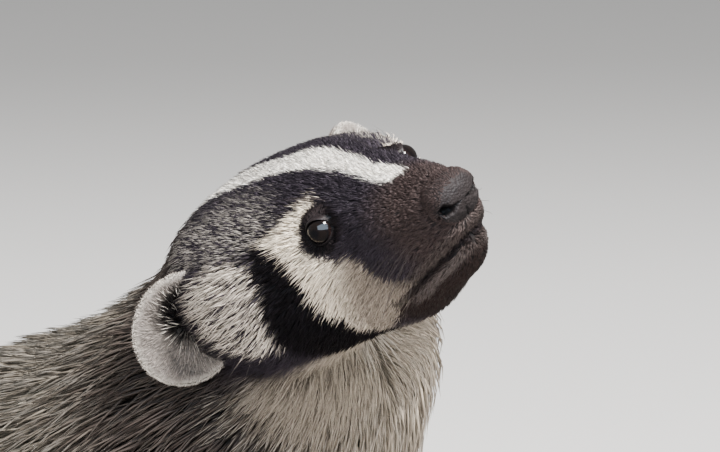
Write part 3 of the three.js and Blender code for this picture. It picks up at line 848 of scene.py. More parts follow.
def head_markings(local, random):
    """Colours at places in the head's frame, and how frosted each is"""
    x, y, z = local.T
    side_view = np.column_stack([x, z + FAR_SIDE_DROP * smooth(y, 0, 10)])
    on_side = np.abs(y) > 8
    ragged = random.normal(0, RAGGED_MM, len(x))

    def inside(outline):
        return np.where(on_side, inside_outline(outline, side_view), -20) + ragged

    colour = MASK * np.ones((len(x), 1))
    colour = blend(colour, MUZZLE, smooth(x + 0.35 * z, 16, 34))
    colour = blend(colour, JAW, smooth(z + 0.42 * (40 - x), -19, -26) * smooth(x, 0, 14))
    over_mouth = z - mouth_height(x)
    upper_lip = smooth(np.abs(over_mouth - UPPER_LIP_AT), 3.4, 1.2) * smooth(x, 18, 34)
    colour = blend(colour, LIP_EDGE, upper_lip * 0.75)
    lower_lip = smooth(np.abs(over_mouth + LOWER_LIP_AT), 2.6, 0.8) * smooth(x, 14, 26) * smooth(x, 50, 42)
    colour = blend(colour, LIP_GREY, lower_lip * 0.7)
    closed = smooth(np.abs(over_mouth), 1.7, 0.7) * smooth(x, 6, 14)
    colour = blend(colour, BARE_SKIN, closed * 0.9)
    colour = blend(colour, THROAT * 0.8, smooth(z, -41, -49) * smooth(x, 10, -14))
    frost = smooth(inside(GRIZZLED_OUTLINE), -2, 3)
    grey = smooth(inside(PREAURICULAR_OUTLINE), -2, 2)
    colour = blend(colour, PREAURICULAR, grey * (random.random(len(x)) < PALE_BEFORE_EAR))
    cream = smooth(inside(CREAM_OUTLINE), -0.7, 0.9)
    cheek = blend(CREAM * np.ones((len(x), 1)), CHEEK_GREY, smooth(x - 0.5 * z, 4, 20))
    cheek = blend(cheek, CHEEK_FRONT, smooth(x, 12, 30))
    colour = blend(colour, cheek, cream)
    colour = blend(colour, BARE_SKIN, closed * 0.8 * (x > 12))
    colour = blend(colour, BADGE, smooth(inside(BADGE_OUTLINE), -0.7, 0.9) * (1 - cream))
    right, left = np.interp(x, STRIPE_X, STRIPE_RIGHT), np.interp(x, STRIPE_X, STRIPE_LEFT)
    band = np.minimum(np.minimum(y - right, left - y), (STRIPE_FRONT - x) * 0.9)
    white = smooth(np.where(z > -4, band, -9) + ragged * 0.8, -STRIPE_EDGE_MM, STRIPE_EDGE_MM)
    colour = blend(colour, WHITE_STRIPE, white)
    mottled = white * smooth(x, -24, -44) * (random.random(len(x)) < DARK_IN_STRIPE)
    colour = blend(colour, NAPE_DARK, mottled * 0.7)
    colour = blend(colour, BARE_SKIN, smooth(eye_gap(local), 10.0, 8.4))
    return colour, frost * (1 - white)


# %% [markdown]
# The body has no photograph to follow, so it follows the species. The flanks are long, grey and buff, each
# hair dark below a pale tip; the belly is cream, the legs and feet brown-black, and the stripe fades out
# over the shoulders. Soft steps across the planes of the neck blend one region into the next.

# %% Regions and colours of the whole coat
HEAD_CUT = (on_head([-76, 0, -20]), head_way([0.92, 0, 0.38]))
NECK_CUT = (np.array([12, -4, 172]), unit(np.array([0.5, -0.08, 0.86])))


def regions(plan):
    """Shares of head, neck, torso, leg, foot and tail at places of the plan"""
    x, y, z = plan.T
    head_share = smooth((plan - HEAD_CUT[0]) @ HEAD_CUT[1], -12, 12)
    neck_share = smooth((plan - NECK_CUT[0]) @ NECK_CUT[1], -26, 22) * (1 - head_share)
    fore = smooth(np.hypot(x - 18, np.abs(y) - 82), 50, 40)
    hind = smooth(np.hypot(x + 246, np.abs(y) - 84), 62, 50)
    leg_share = np.maximum(fore, hind) * smooth(z, 98, 74)
    foot_share = smooth(z, 27, 19)
    tail_share = smooth(x, -326, -344) * (1 - foot_share)
    leg_share = leg_share * (1 - foot_share)
    torso_share = np.clip(1 - head_share - neck_share - leg_share - foot_share - tail_share, 0, 1)
    return dict(
        head=head_share, neck=neck_share, torso=torso_share,
        leg=leg_share, foot=foot_share, tail=tail_share,
    )


def coat_colours(places, random):
    """The coat's base colour at places of the frame, its frost, and the shares of the regions"""
    plan = to_plan(places)
    local = to_head(places)
    share = regions(plan)
    head, frosted = head_markings(local, random)
    x, y, z = plan.T
    ones = np.ones((len(x), 1))
    torso = blend(FLANK_BUFF * ones, BACK_GREY, smooth(z, 120, 190))
    torso = blend(torso, BELLY_BUFF, smooth(z, 84, 66))
    behind = -local[:, 0]
    neck = blend(NAPE_DARK * ones, BACK_GREY * 0.85, smooth(behind, 95, 150))
    neck = blend(neck, THROAT, smooth(local[:, 2], -40, -74) * smooth(np.abs(local[:, 1]), 66, 22))
    stripe = smooth(np.abs(local[:, 1] - 0.5), 9.5, 6.5) * smooth(behind, 195, 165) * (local[:, 2] > -60)
    neck = blend(neck, WHITE_STRIPE, stripe * smooth(z, 190, 215))
    tail = blend(TAIL_BUFF * ones, BODY_BAND, smooth(x, -400, -440) * 0.7)
    dark = LEG_DARK * ones
    parts = dict(head=head, neck=neck, torso=torso, leg=dark, foot=dark, tail=tail)
    total = sum(parts[name] * share[name][:, None] for name in parts) / sum(share.values())[:, None]
    return total, frosted * share["head"], share


# %% [markdown]
# Tufts lie the way the animal's own hair does: back from the nose over the crown, down and back over the
# cheeks, back and down over the flanks, down the legs, forward on the feet. The way is worked out for each
# region and laid into the surface.

# %% The lie of the coat


def lie_of_coat(places, ways_out, share):
    """The way that tufts lie at places, along the surface"""
    plan = to_plan(places)
    local = to_head(places)
    side = np.sign(local[:, 1])
    ones = np.ones(len(side))
    steep = smooth(local[:, 2], 10, -12) * smooth(local[:, 0], 46, 22)
    head = np.column_stack([-ones, 0.1 * side, -0.1 - 0.48 * steep])
    chin = smooth(local[:, 2], -34, -42)[:, None]
    head = head * (1 - chin) + np.array([-1, 0, -0.2]) * chin
    before_ear = (smooth(local[:, 0], -26, -38) * smooth(local[:, 2], 6, -4))[:, None]
    head = head * (1 - before_ear) + np.column_stack([-ones, 0.25 * side, -0.22 * ones]) * before_ear
    away = unit((mirrored(local) - EYE_AT) * [1, 0, 1])
    by_eye = smooth(eye_gap(local), 10.0, 7.5)[:, None]
    head = head_way(head * (1 - by_eye) + away * by_eye)
    y = plan[:, 1]
    on_side = smooth(np.abs(y), 20, 85)
    neck = np.column_stack([-0.72 * ones, 0.16 * ones + 0.2 * np.sign(y) * on_side, -0.62 * ones])
    torso = np.column_stack([-1 + 0.25 * on_side, 0.12 * np.sign(y), -0.1 - 0.62 * on_side])
    leg = np.column_stack([-0.25 * ones, 0 * ones, -1 * ones])
    foot = np.column_stack([0.95 * ones, 0 * ones, -0.4 * ones])
    tail = np.column_stack([-0.88 * ones, 0.06 * ones, -0.42 * ones])
    parts = dict(head=head, neck=neck, torso=torso, leg=leg, foot=foot, tail=tail)
    way = sum(unit(parts[name]) * share[name][:, None] for name in parts)
    way -= ways_out * np.sum(way * ways_out, axis=1)[:, None]
    return unit(way)


# %% [markdown]
# The export keeps only mesh, so each tuft is a closed sliver of three sides that tapers to a point. For
# speed all of them are made at once as arrays. Points along a tuft are held at a set height over the skin,
# found with a search tree, so a tuft bends with the body, and its tip is drawn towards its neighbours' to
# form locks.

# %% Tuft maker
PIECE_LIMIT = 190000
BAKE_PATCH = 0.003
TUFT_CORNERS = (90, 210, 330)
TUFT_THICKNESS = 0.3


def unwrap(obj):
    """A map of the object's own shape, named OFBake"""
    mesh = obj.data
    while mesh.uv_layers:
        mesh.uv_layers.remove(mesh.uv_layers[0])
    mesh.uv_layers.new(name="OFBake")
    bpy.ops.object.select_all(action="DESELECT")
    obj.select_set(True)
    bpy.context.view_layer.objects.active = obj
    bpy.ops.object.mode_set(mode="EDIT")
    bpy.ops.mesh.select_all(action="SELECT")
    bpy.ops.uv.smart_project(angle_limit=math.radians(66), island_margin=0.001)
    bpy.ops.object.mode_set(mode="OBJECT")


class Ground:
    """A surface that tufts grow from: its triangles, their map and a search tree"""

    def __init__(self, obj):
        mesh = obj.data
        mesh.calc_loop_triangles()
        count = len(mesh.loop_triangles)
        flat = np.empty(count * 3, np.int32)
        mesh.loop_triangles.foreach_get("vertices", flat)
        self.faces = flat.reshape(-1, 3)
        loops = np.empty(count * 3, np.int32)
        mesh.loop_triangles.foreach_get("loops", loops)
        uv = np.empty(len(mesh.loops) * 2, np.float32)
        mesh.uv_layers["OFBake"].data.foreach_get("uv", uv)
        self.uv = uv.reshape(-1, 2)[loops.reshape(-1, 3)]
        self.places = positions(mesh)
        self.ways_out = normals(mesh)
        self.corners = self.places[self.faces]
        edges = self.corners[:, 1:] - self.corners[:, :1]
        self.area = np.linalg.norm(np.cross(edges[:, 0], edges[:, 1]), axis=1) / 2
        self.centre = self.corners.mean(axis=1)
        corners = [tuple(place) for place in self.places]
        self.tree = BVHTree.FromPolygons(corners, [tuple(face) for face in self.faces.tolist()])

    def roots(self, count, density, random):
        """Root places, ways out and map places, spread by density"""
        weight = self.area * density
        chosen = random.choice(len(weight), count, p=weight / weight.sum())
        share = random.dirichlet((1, 1, 1), count)
        places = np.einsum("ij,ijk->ik", share, self.corners[chosen])
        out = unit(np.einsum("ij,ijk->ik", share, self.ways_out[self.faces[chosen]]))
        uv = np.einsum("ij,ijk->ik", share, self.uv[chosen])
        return places, out, uv

    def held_over(self, points, heights):
        """The points moved to their heights over the surface"""
        held = np.empty_like(points)
        for n, point in enumerate(points):
            at, out, _, _ = self.tree.find_nearest(point)
            held[n] = np.array(at) + np.array(out) * heights[n]
        return held


def drawn_together(tips, spacing, pull, random):
    """Tips moved towards the middle of the lock that each belongs to"""
    count = max(int(len(tips) / spacing), 1)
    seeds = tips[random.choice(len(tips), count, replace=False)]
    tree = KDTree(count)
    for n, seed in enumerate(seeds):
        tree.insert(seed, n)
    tree.balance()
    owner = np.array([tree.find(tip)[1] for tip in tips])
    return tips + (seeds[owner] - tips) * pull[:, None]


def tuft_arrays(spine, out, widths, taper):
    """Vertices and triangles of three-sided tufts along spines of shape (tufts, rings + tip, 3)"""
    tufts, points = spine.shape[:2]
    rings = points - 1
    along = unit(np.gradient(spine, axis=1))
    across = unit(np.cross(along, out[:, None, :]))
    rise = np.cross(across, along)
    corner = np.radians(TUFT_CORNERS)
    width = widths[:, None] * np.asarray(taper)[None, :rings]
    aside = np.cos(corner)[None, None, :, None] * width[..., None, None] / 2
    above = np.sin(corner)[None, None, :, None] * width[..., None, None] * TUFT_THICKNESS
    ring_points = spine[:, :rings, None] + across[:, :rings, None] * aside + rise[:, :rings, None] * above
    vertices = np.concatenate([ring_points.reshape(tufts, rings * 3, 3), spine[:, rings:, :]], axis=1)
    faces = [(0, 1, 2)]
    for r in range(rings - 1):
        for k in range(3):
            a, b = r * 3 + k, r * 3 + (k + 1) % 3
            faces += [(a, a + 3, b), (b, a + 3, b + 3)]
    last = (rings - 1) * 3
    for k in range(3):
        faces.append((last + k, rings * 3, last + (k + 1) % 3))
    faces = np.array(faces)
    size = rings * 3 + 1
    every = faces[None] + (np.arange(tufts) * size)[:, None, None]
    return vertices, every.reshape(-1, 3), size, len(faces)


def coat_piece(name, vertices, faces, colours, uv, material):
    """One mesh of the coat, with its colours and its OFBake map"""
    mesh = bpy.data.meshes.new(name)
    mesh.vertices.add(len(vertices))
    mesh.vertices.foreach_set("co", vertices.astype(np.float32).ravel())
    mesh.loops.add(faces.size)
    mesh.loops.foreach_set("vertex_index", faces.astype(np.int32).ravel())
    mesh.polygons.add(len(faces))
    mesh.polygons.foreach_set("loop_start", np.arange(0, faces.size, 3, dtype=np.int32))
    mesh.polygons.foreach_set("use_smooth", np.ones(len(faces), bool))
    write_colours(mesh, "coat", colours)
    mesh.update(calc_edges=True)
    layer = mesh.uv_layers.new(name="OFBake")
    layer.data.foreach_set("uv", uv[faces.ravel()].astype(np.float32).ravel())
    mesh.materials.append(material)
    obj = bpy.data.objects.new(name, mesh)
    bpy.context.collection.objects.link(obj)
    return obj


# %% [markdown]
# Hair is a keratin fibre: it is rough over all, with a weak sheen along its length. A tuft stands for a
# small lock of hairs, so the shader gives it fine lengthwise streaks by a noise, a soft sheen and a high
# roughness. The colour comes from the attribute that the markings wrote.

# %% Materials: one function adds a node


def add_node(tree, kind, inputs=None, **settings):
    """A node of a kind, with its settings, its input values and its links"""
    node = tree.nodes.new(kind)
    for name, value in settings.items():
        setattr(node, name, value)
    for name, value in (inputs or {}).items():
        if isinstance(value, bpy.types.NodeSocket):
            tree.links.new(value, node.inputs[name])
        else:
            node.inputs[name].default_value = value
    return node


def new_material(name):
    """An empty material and its node tree"""
    material = bpy.data.materials.new(name)
    material.use_nodes = True
    material.node_tree.nodes.clear()
    return material, material.node_tree


def finish_with(tree, inputs):
    """The principled surface of a material, joined to its output"""
    shader = add_node(tree, "ShaderNodeBsdfPrincipled", inputs)
    add_node(tree, "ShaderNodeOutputMaterial", {"Surface": shader.outputs["BSDF"]})


def grain_of(tree, size_mm, detail, roughness=0.5):
    """Noise in the object's own coordinates, its grain in millimetres"""
    place = add_node(tree, "ShaderNodeTexCoord")
    noise = add_node(tree, "ShaderNodeTexNoise", {
        "Vector": place.outputs["Object"], "Scale": 1 / (size_mm * MM),
        "Detail": detail, "Roughness": roughness,
    })
    return noise.outputs["Fac"]


def times(tree, colour, factor):
    """A colour multiplied by a factor"""
    product = add_node(tree, "ShaderNodeVectorMath", {0: colour, 1: factor}, operation="MULTIPLY")
    return product.outputs["Vector"]


def tinted(tree, attribute, grain, darkest, lightest):
    """The colour written on the mesh, made darker and lighter by a grain"""
    tint = add_node(tree, "ShaderNodeAttribute", attribute_name=attribute)
    light = add_node(tree, "ShaderNodeMapRange", {"Value": grain, "To Min": darkest, "To Max": lightest})
    return times(tree, tint.outputs["Color"], light.outputs["Result"])


def between(tree, grain, dark, pale):
    """A colour that a grain varies between two hex values"""
    mix = add_node(tree, "ShaderNodeMix", {"Factor": grain}, data_type="RGBA")
    mix.inputs[6].default_value = (*linear(dark), 1)
    mix.inputs[7].default_value = (*linear(pale), 1)
    return mix.outputs[2]


def bumped(tree, height, strength, depth_mm, **settings):
    """A surface raised and sunk by a height, its depth in millimetres"""
    inputs = {"Height": height, "Strength": strength, "Distance": depth_mm * MM}
    return add_node(tree, "ShaderNodeBump", inputs, **settings).outputs["Normal"]


def hair_material(name, streak_mm, roughness):
    """Keratin fibre: matt, a little brighter where the light runs along it"""
    material, tree = new_material(name)
    streak = grain_of(tree, streak_mm, 2.0, 0.6)
    colour = tinted(tree, "coat", streak, 0.72, 1.25)
    finish_with(tree, {"Base Color": colour, "Roughness": roughness, "IOR": 1.5, "Specular IOR Level": 0.09})
    return material


short_hair = hair_material("keratin_hair_short", 1.4, 0.62)
long_hair = hair_material("keratin_hair_long", 3.0, 0.6)


def skin_material(name):
    """Skin with a nap of short hair: the coat's own colour, darker between the roots"""
    material, tree = new_material(name)
    nap = grain_of(tree, 0.8, 3.0, 0.65)
    colour = tinted(tree, "coat", nap, 0.35, 0.85)
    bump = bumped(tree, nap, 0.6, 0.4)
    finish_with(tree, {"Base Color": colour, "Roughness": 0.8, "Specular IOR Level": 0.15, "Normal": bump})
    return material


napped_skin = skin_material("napped_skin")

# %% [markdown]
# The skin takes the coat's own colours, darker than the hair, because what shows of it lies in the hair's
# shade. Each ear is painted by how far a place lies from its middle: pale at the rim, grey within, and near
# black in the cup, a painted shade of the ear's opening.

# %% Paint the skin and the ears
SKIN_TONE_BODY = 0.85
SKIN_TONE_FACE = 0.5
EAR_SKIN_TONE = 0.8


def paint(obj, colours, material):
    """Colours a skin and dresses it"""
    write_colours(obj.data, "coat", colours)
    dress(obj, material)


random = np.random.default_rng(7)
skin_colours, _, skin_share = coat_colours(positions(skin.data), random)
skin_tone = SKIN_TONE_BODY + (SKIN_TONE_FACE - SKIN_TONE_BODY) * skin_share["head"]
paint(skin, skin_colours * skin_tone[:, None], napped_skin)
unwrap(skin)
skin_ground = Ground(skin)
print("skin mapped,", len(skin_ground.faces), "triangles")


def ear_colours(places, side):
    """Grey within a pale rim, painted shade in the cup, dark on the back; also the shares of cup, rim and
    back
    """
    across, up, facing = ear_axes(side)
    local = to_plan(places) - on_head(EAR_AT * [1, side, 1])
    wide, tall = local @ across * side / (EAR_WIDTH / 2), local @ up / (EAR_HEIGHT / 2)
    radius = np.hypot(wide, tall)
    back = smooth(local @ facing - np.interp(radius, EAR_FRONT[:, 0], EAR_FRONT[:, 1]), -1.2, -2.4)
    rim = smooth(radius, 0.82, 0.97)
    cup = smooth(np.hypot(wide + 0.22, tall - 0.16), 0.52, 0.3) * (1 - back)
    colour = EAR_GREY * np.ones((len(local), 1))
    colour = blend(colour, NAPE_DARK * 1.4, back)
    colour = blend(colour, EAR_PALE, rim)
    # The cup takes painted shade, near black where the ear opens
    return blend(colour, EAR_CUP_SHADE, cup), cup, rim, back


ear_grounds = {}
for word, side in (("left", 1), ("right", -1)):
    paint(ears[word], ear_colours(positions(ears[word].data), side)[0] * EAR_SKIN_TONE, napped_skin)
    unwrap(ears[word])
    ear_grounds[word] = Ground(ears[word])

# %% [markdown]
# Each region has its own hair: length, width, how high it stands, and how many grow on each square
# millimetre. The face is shortest and densest, the flanks longest. These measures are blended where regions
# meet.

# %% Measures of the hair by region
HAIR = {
    # length, width, height at the middle, height at the tip: millimetres
    "head": (6.6, 0.5, 1.1, 1.8),
    "neck": (30, 1.5, 5.5, 9.0),
    "torso": (50, 2.1, 9.0, 15.0),
    "leg": (16, 1.1, 3.2, 5.0),
    "foot": (6, 0.75, 0.9, 1.4),
    "tail": (44, 1.8, 8.0, 15.0),
}
MUZZLE_HAIR = (3.4, 0.5, 0.55, 0.85)
LID_HAIR = (2.6, 0.4, 0.4, 0.7)
EAR_FRONT_HAIR = (20, 0.44, 3.2, 4.8)
GRIZZLED_HAIR = (4.4, 0.4, 1.0, 1.7)


def hair_measures(places, share):
    """Length, width, middle and tip heights of the tufts rooted at places, in millimetres"""
    local = to_head(places)
    x, y, z = local.T
    table = np.array([HAIR[name] for name in share], float)
    weights = np.stack(list(share.values()), axis=1)
    weights = weights / weights.sum(axis=1, keepdims=True)
    measures = weights @ table
    face = np.array([HAIR["head"]], float) * np.ones((len(x), 1))
    cheek = smooth(x, 6, -22) * smooth(z, 4, -14)
    crown = smooth(x, -30, -78)
    face *= 1 + 0.45 * cheek[:, None] + 0.4 * crown[:, None]
    face[:, 1] = HAIR["head"][1] * (1 + 0.15 * crown)
    grizzled = smooth(inside_outline(GRIZZLED_OUTLINE, np.column_stack([x, z])), -4, 2) * smooth(x, -84, -64)
    face = blend(face, np.array(GRIZZLED_HAIR), grizzled)
    before_ear = smooth(x, -26, -38) * smooth(z, 4, -5) * smooth(x, -60, -51)
    face = blend(face, np.array(EAR_FRONT_HAIR), before_ear)
    face = blend(face, np.array(MUZZLE_HAIR), smooth(x, 10, 38))
    face = blend(face, np.array(LID_HAIR), smooth(eye_gap(local), 12.5, 8.5))
    measures = blend(measures, face, share["head"])
    height = to_plan(places)[:, 2]
    back = smooth(height, 150, 195) * share["torso"]
    belly = smooth(height, 80, 62) * share["torso"]
    for column, less in ((0, 0.3), (2, 0.35), (3, 0.4)):
        measures[:, column] *= 1 - less * back - 0.3 * belly
    return measures


# %% [markdown]
# Colour along a tuft is a short ramp. A guard hair of the body is grey-buff below, crossed by a dark band
# and tipped with white, which is what makes the coat look grizzled. The face's hairs are nearly plain. Every
# tuft is also painted darker towards its root, a painted shade of the coat's depth, and pale tufts less so.

# %% Grow the coat
DENSE = 1.0
SHOWN_AT = 0.55
FLOOR_GAP = 0.0008
ROOT_DEPTH = 0.0004
LENGTH_SPREAD = 0.18
LENGTH_RANGE = (0.55, 1.45)
HEIGHT_SPREAD = 0.25
HEIGHT_RANGE = (0.4, 1.4)
WIDTH_RANGE = (0.75, 1.25)
PULL_RANGE = (0.4, 1.0)
STRAY_TURN = 0.16


def tuft_colours(base, frosted, share, rings, random):
    """Colours of shape (tufts, rings + tip, 3)"""
    count = len(base)
    long_coat = np.clip(share["torso"] + share["neck"] * 0.9 + share["tail"] * 0.6, 0, 1)
    bright = base.max(axis=1)
    base = base * np.exp(random.normal(0, 0.17, count))[:, None]
    pale_tip = (random.random(count) < 0.62) * long_coat * smooth(bright, 0.02, 0.1)
    frost_tip = (random.random(count) < 0.46) * frosted * (1 - long_coat)
    banded = long_coat * smooth(bright, 0.62, 0.4)
    colours = np.empty((count, rings + 1, 3))
    # Painted shade: each tuft is darker towards its root, where the coat shades it; pale hair gets less of
    # it
    root_shade = 0.5 + 0.4 * smooth(bright, 0.5, 0.8)[:, None]
    for n, along in enumerate(np.linspace(0, 1, rings + 1)):
        tone = base * (root_shade + (1 - root_shade) * smooth(along, 0, 0.5))
        band = smooth(along, 0.3, 0.55) * smooth(along, 1.0, 0.75) * banded
        tone = blend(tone, BODY_BAND, 0.75 * band)
        tone = blend(tone, FROST, 0.75 * smooth(along, 0.62, 0.95) * pale_tip)
        tone = blend(tone, FROST, 0.85 * smooth(along, 0.3, 0.7) * frost_tip)
        colours[:, n] = tone
    return colours


def regional(roots, out, random):
    """What the tufts of the skin are like at their roots, by the region of the body"""
    share = regions(to_plan(roots))
    way = lie_of_coat(roots, out, share)
    measures = hair_measures(roots, share)
    shown = roots + way * (measures[:, 0] * SHOWN_AT * MM)[:, None]
    base, frosted, share = coat_colours(shown, random)
    return base, frosted, share, way, measures


def grow(
    name, ground, count, density, material, seed,
    rings=2, taper=(0.8, 0.8), lock_size=1, lock_pull=0.0, choose=regional,
):
    """Grows tufts on a ground and returns the coat's pieces"""
    count = int(count * DENSE)
    random = np.random.default_rng(seed)
    roots, out, uv = ground.roots(count, density, random)
    base, frosted, share, way, measures = choose(roots, out, random)
    length, width, middle, tip_height = (measures[:, n] * MM for n in range(4))
    length = length * np.clip(random.normal(1, LENGTH_SPREAD, count), *LENGTH_RANGE)
    sideways = np.cross(out, way)
    turn = random.normal(0, STRAY_TURN, count)
    way = unit(way + sideways * turn[:, None])
    steps = np.linspace(0, 1, rings + 1)
    heights = np.clip(random.normal(1, HEIGHT_SPREAD, count), *HEIGHT_RANGE)
    spine = np.empty((count, rings + 1, 3))
    spine[:, 0] = roots - out * ROOT_DEPTH
    tips = ground.held_over(roots + way * length[:, None] + out * tip_height[:, None], tip_height * heights)
    if lock_size > 1:
        pull = lock_pull * random.uniform(*PULL_RANGE, count)
        tips = drawn_together(tips, lock_size, pull, random)
    middles = ground.held_over((roots + tips) / 2, middle * heights)
    bend = 2 * middles - (roots + tips) / 2
    for n, s in enumerate(steps[1:], start=1):
        spine[:, n] = (1 - s) * (1 - s) * roots + 2 * s * (1 - s) * bend + s * s * tips
    spine[:, :, 2] = np.maximum(spine[:, :, 2], FLOOR_GAP)
    width = width * random.uniform(*WIDTH_RANGE, count)
    vertices, faces, size, per_tuft = tuft_arrays(spine, out, width, taper)
    colours = tuft_colours(base, frosted, share, rings, random)
    ring_colours = np.repeat(colours[:, :rings], 3, axis=1)
    vertex_colours = np.concatenate([ring_colours, colours[:, rings:]], axis=1)
    spread_u = np.concatenate([np.tile([-0.5, 0.0, 0.5], rings), [0.0]]) * BAKE_PATCH
    spread_v = np.concatenate([np.repeat(steps[:rings], 3), [1.0]]) * BAKE_PATCH - BAKE_PATCH / 2
    vertex_uv = uv[:, None] + np.stack([spread_u, spread_v], axis=1)[None]
    pieces = []
    tufts_each = PIECE_LIMIT // per_tuft
    order = np.argsort(roots[:, 0])
    for number, first in enumerate(range(0, count, tufts_each)):
        chosen = order[first:first + tufts_each]
        part_faces = faces[:per_tuft][None] + (np.arange(len(chosen)) * size)[:, None, None]
        piece = coat_piece(
            f"{name}_{number + 1}",
            vertices[chosen].reshape(-1, 3),
            part_faces.reshape(-1, 3),
            vertex_colours[chosen].reshape(-1, 3),
            np.clip(vertex_uv[chosen].reshape(-1, 2), 0, 1),
            material,
        )
        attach(piece, "root")
        pieces.append(piece)
    print(name, count, "tufts,", count * per_tuft, "triangles")
    return pieces


def bare_round_eyes(places):
    """0 inside the openings of the eyes and 1 away from them"""
    bare = np.zeros(len(places))
    for side in (1, -1):
        _, _, depth, beyond = in_eye(places, side)
        bare = np.maximum(bare, smooth(beyond, 1.0, 0.3) * (depth > -EYE_RADIUS))
    return 1 - bare


def off_nose(local):
    """0 under the nose pad and 1 away from it"""
    x, y, z = local.T
    reach = np.hypot(y / 11.0, (z + 4.5) / 9.5)
    return 1 - smooth(x, 46.5, 48.5) * smooth(reach, 1.08, 0.96)


# %% [markdown]
# A density says how thickly each region grows. It is densest on the muzzle and round the eyes, where the
# hair is shortest, and nothing grows inside the eyes, under the nose pad or on the soles.

# %% The coat of the head, body and feet
TUFTS = {"head": 58000, "body": 43000, "feet": 7000, "ear": 5600, "nose": 3600}
BODY_DENSITY = {"neck": 2.0, "torso": 1.0, "leg": 1.6, "tail": 2.4}
BODY_FLOOR = 16
SOLE_TOP = 3

ground_height = to_plan(skin_ground.centre)[:, 2]
ground_local = to_head(skin_ground.centre)
ground_share = regions(to_plan(skin_ground.centre))
head_density = ground_share["head"] * bare_round_eyes(skin_ground.centre) * off_nose(ground_local)
head_density *= 1 + 1.5 * smooth(ground_local[:, 0], -10, 25)
speckled = smooth(inside_outline(GRIZZLED_OUTLINE, ground_local[:, [0, 2]]), -4, 2)
head_density *= 1 + 0.5 * speckled
head_density *= 1 + 1.8 * smooth(eye_gap(ground_local), 12, 8.5)
body_density = sum(ground_share[region] * thick for region, thick in BODY_DENSITY.items())
body_density = body_density * (ground_height > BODY_FLOOR)
foot_density = ground_share["foot"] * (ground_height > SOLE_TOP)

coat = grow(
    "coat_head", skin_ground, TUFTS["head"], head_density, short_hair, 31,
    taper=(0.8, 0.85), lock_size=5, lock_pull=0.25,
)
coat += grow(
    "coat_body", skin_ground, TUFTS["body"], body_density, long_hair, 41,
    rings=3, taper=(0.7, 1.0, 0.62), lock_size=9, lock_pull=0.55,
)
coat += grow(
    "coat_feet", skin_ground, TUFTS["feet"], foot_density, short_hair, 51,
    taper=(0.9, 0.8),
)

# %% [markdown]
# An ear's hair is very short and runs outwards from its middle. It is longer on the back and at the rim,
# and a few long pale hairs stand up out of the dark cup.

# %% Ear coat
EAR_HAIR = (3.4, 0.34, 0.35, 0.6)
EAR_BACK_HAIR = (6.5, 0.42, 0.9, 1.5)
EAR_RIM_HAIR = (5.0, 0.36, 0.6, 1.0)
EAR_CUP_HAIR = (7.0, 0.36, 2.0, 3.5)
PALE_IN_CUP = 0.25


def ear_chooser(side):
    """What the tufts of one ear are like at their roots"""

    def choose(roots, out, random):
        colour, cup, rim, back = ear_colours(roots, side)
        across, up, facing = ear_axes(side)
        local = to_plan(roots) - on_head(EAR_AT * [1, side, 1])
        radial = unit((local @ across)[:, None] * across + (local @ up)[:, None] * up)
        way = unit(radial + facing * 0.25 + up * 0.2)
        way = unit(way - out * np.sum(way * out, axis=1)[:, None])
        inner = cup > 0.5
        measures = np.tile(EAR_HAIR, (len(roots), 1))
        measures = blend(measures, np.array(EAR_BACK_HAIR), back)
        measures = blend(measures, np.array(EAR_RIM_HAIR), rim)
        measures[inner] = EAR_CUP_HAIR
        share = dict(head=np.ones(len(roots)), neck=0, torso=0, tail=0)
        colour = blend(colour, EAR_PALE, inner * (random.random(len(roots)) < PALE_IN_CUP))
        return colour, np.zeros(len(roots)), share, way, measures

    return choose


for word, side in (("left", 1), ("right", -1)):
    even = np.ones(len(ear_grounds[word].area))
    coat += grow(
        "coat_ear_" + word, ear_grounds[word], TUFTS["ear"], even, short_hair, 61 + side,
        choose=ear_chooser(side),
    )

# %% [markdown]
# An eye is a wet ball. A ring pattern about its own axis gives pupil, iris and the dark edge of the cornea,
# and a clear coat on top gives the sharp highlight that makes it live. The lids are a thick rim that hugs
# the ball.

# %% Eyes
CORNEA_REACH = 0.62
CORNEA_BULGE = 0.045
BALL_GAP = 0.25
# Where each part's edge starts and ends, in degrees from the eye's axis
PUPIL_EDGE = (14, 17)
IRIS_EDGE = (40, 46)
LIMBUS_EDGE = (52, 60)


def ball_mesh(centre, facing, radius, bulge):
    """A ball with its pole along the way it faces, and a cornea that bulges there"""
    rings, sides = 40, 56
    pole_gap = 0.03
    turn = np.array(Vector((0, 0, 1)).rotation_difference(Vector(facing)).to_matrix())
    polar = np.linspace(pole_gap, math.pi - pole_gap, rings)[::-1]
    angle = np.arange(sides) / sides * 2 * math.pi
    swell = radius * (1 + bulge * np.exp(-(polar / CORNEA_REACH) ** 4))
    local = np.stack([
        np.sin(polar)[:, None] * np.cos(angle)[None] * swell[:, None],
        np.sin(polar)[:, None] * np.sin(angle)[None] * swell[:, None],
        np.repeat((np.cos(polar) * swell)[:, None], sides, axis=1),
    ], axis=2)
    return local @ turn.T + centre


def eye_material():
    """Living eye: dark brown iris under a clear wet cornea"""
    material, tree = new_material("wet_cornea")
    tint = add_node(tree, "ShaderNodeAttribute", attribute_name="eye")
    finish_with(tree, {
        "Base Color": tint.outputs["Color"], "Roughness": 0.3, "IOR": 1.376, "Specular IOR Level": 0.0,
        "Coat Weight": 0.8, "Coat Roughness": 0.04, "Coat IOR": 1.376,
    })
    return material


def before(polar, edge):
    """1 inside a soft edge and 0 past it"""
    return smooth(polar, edge[1], edge[0])


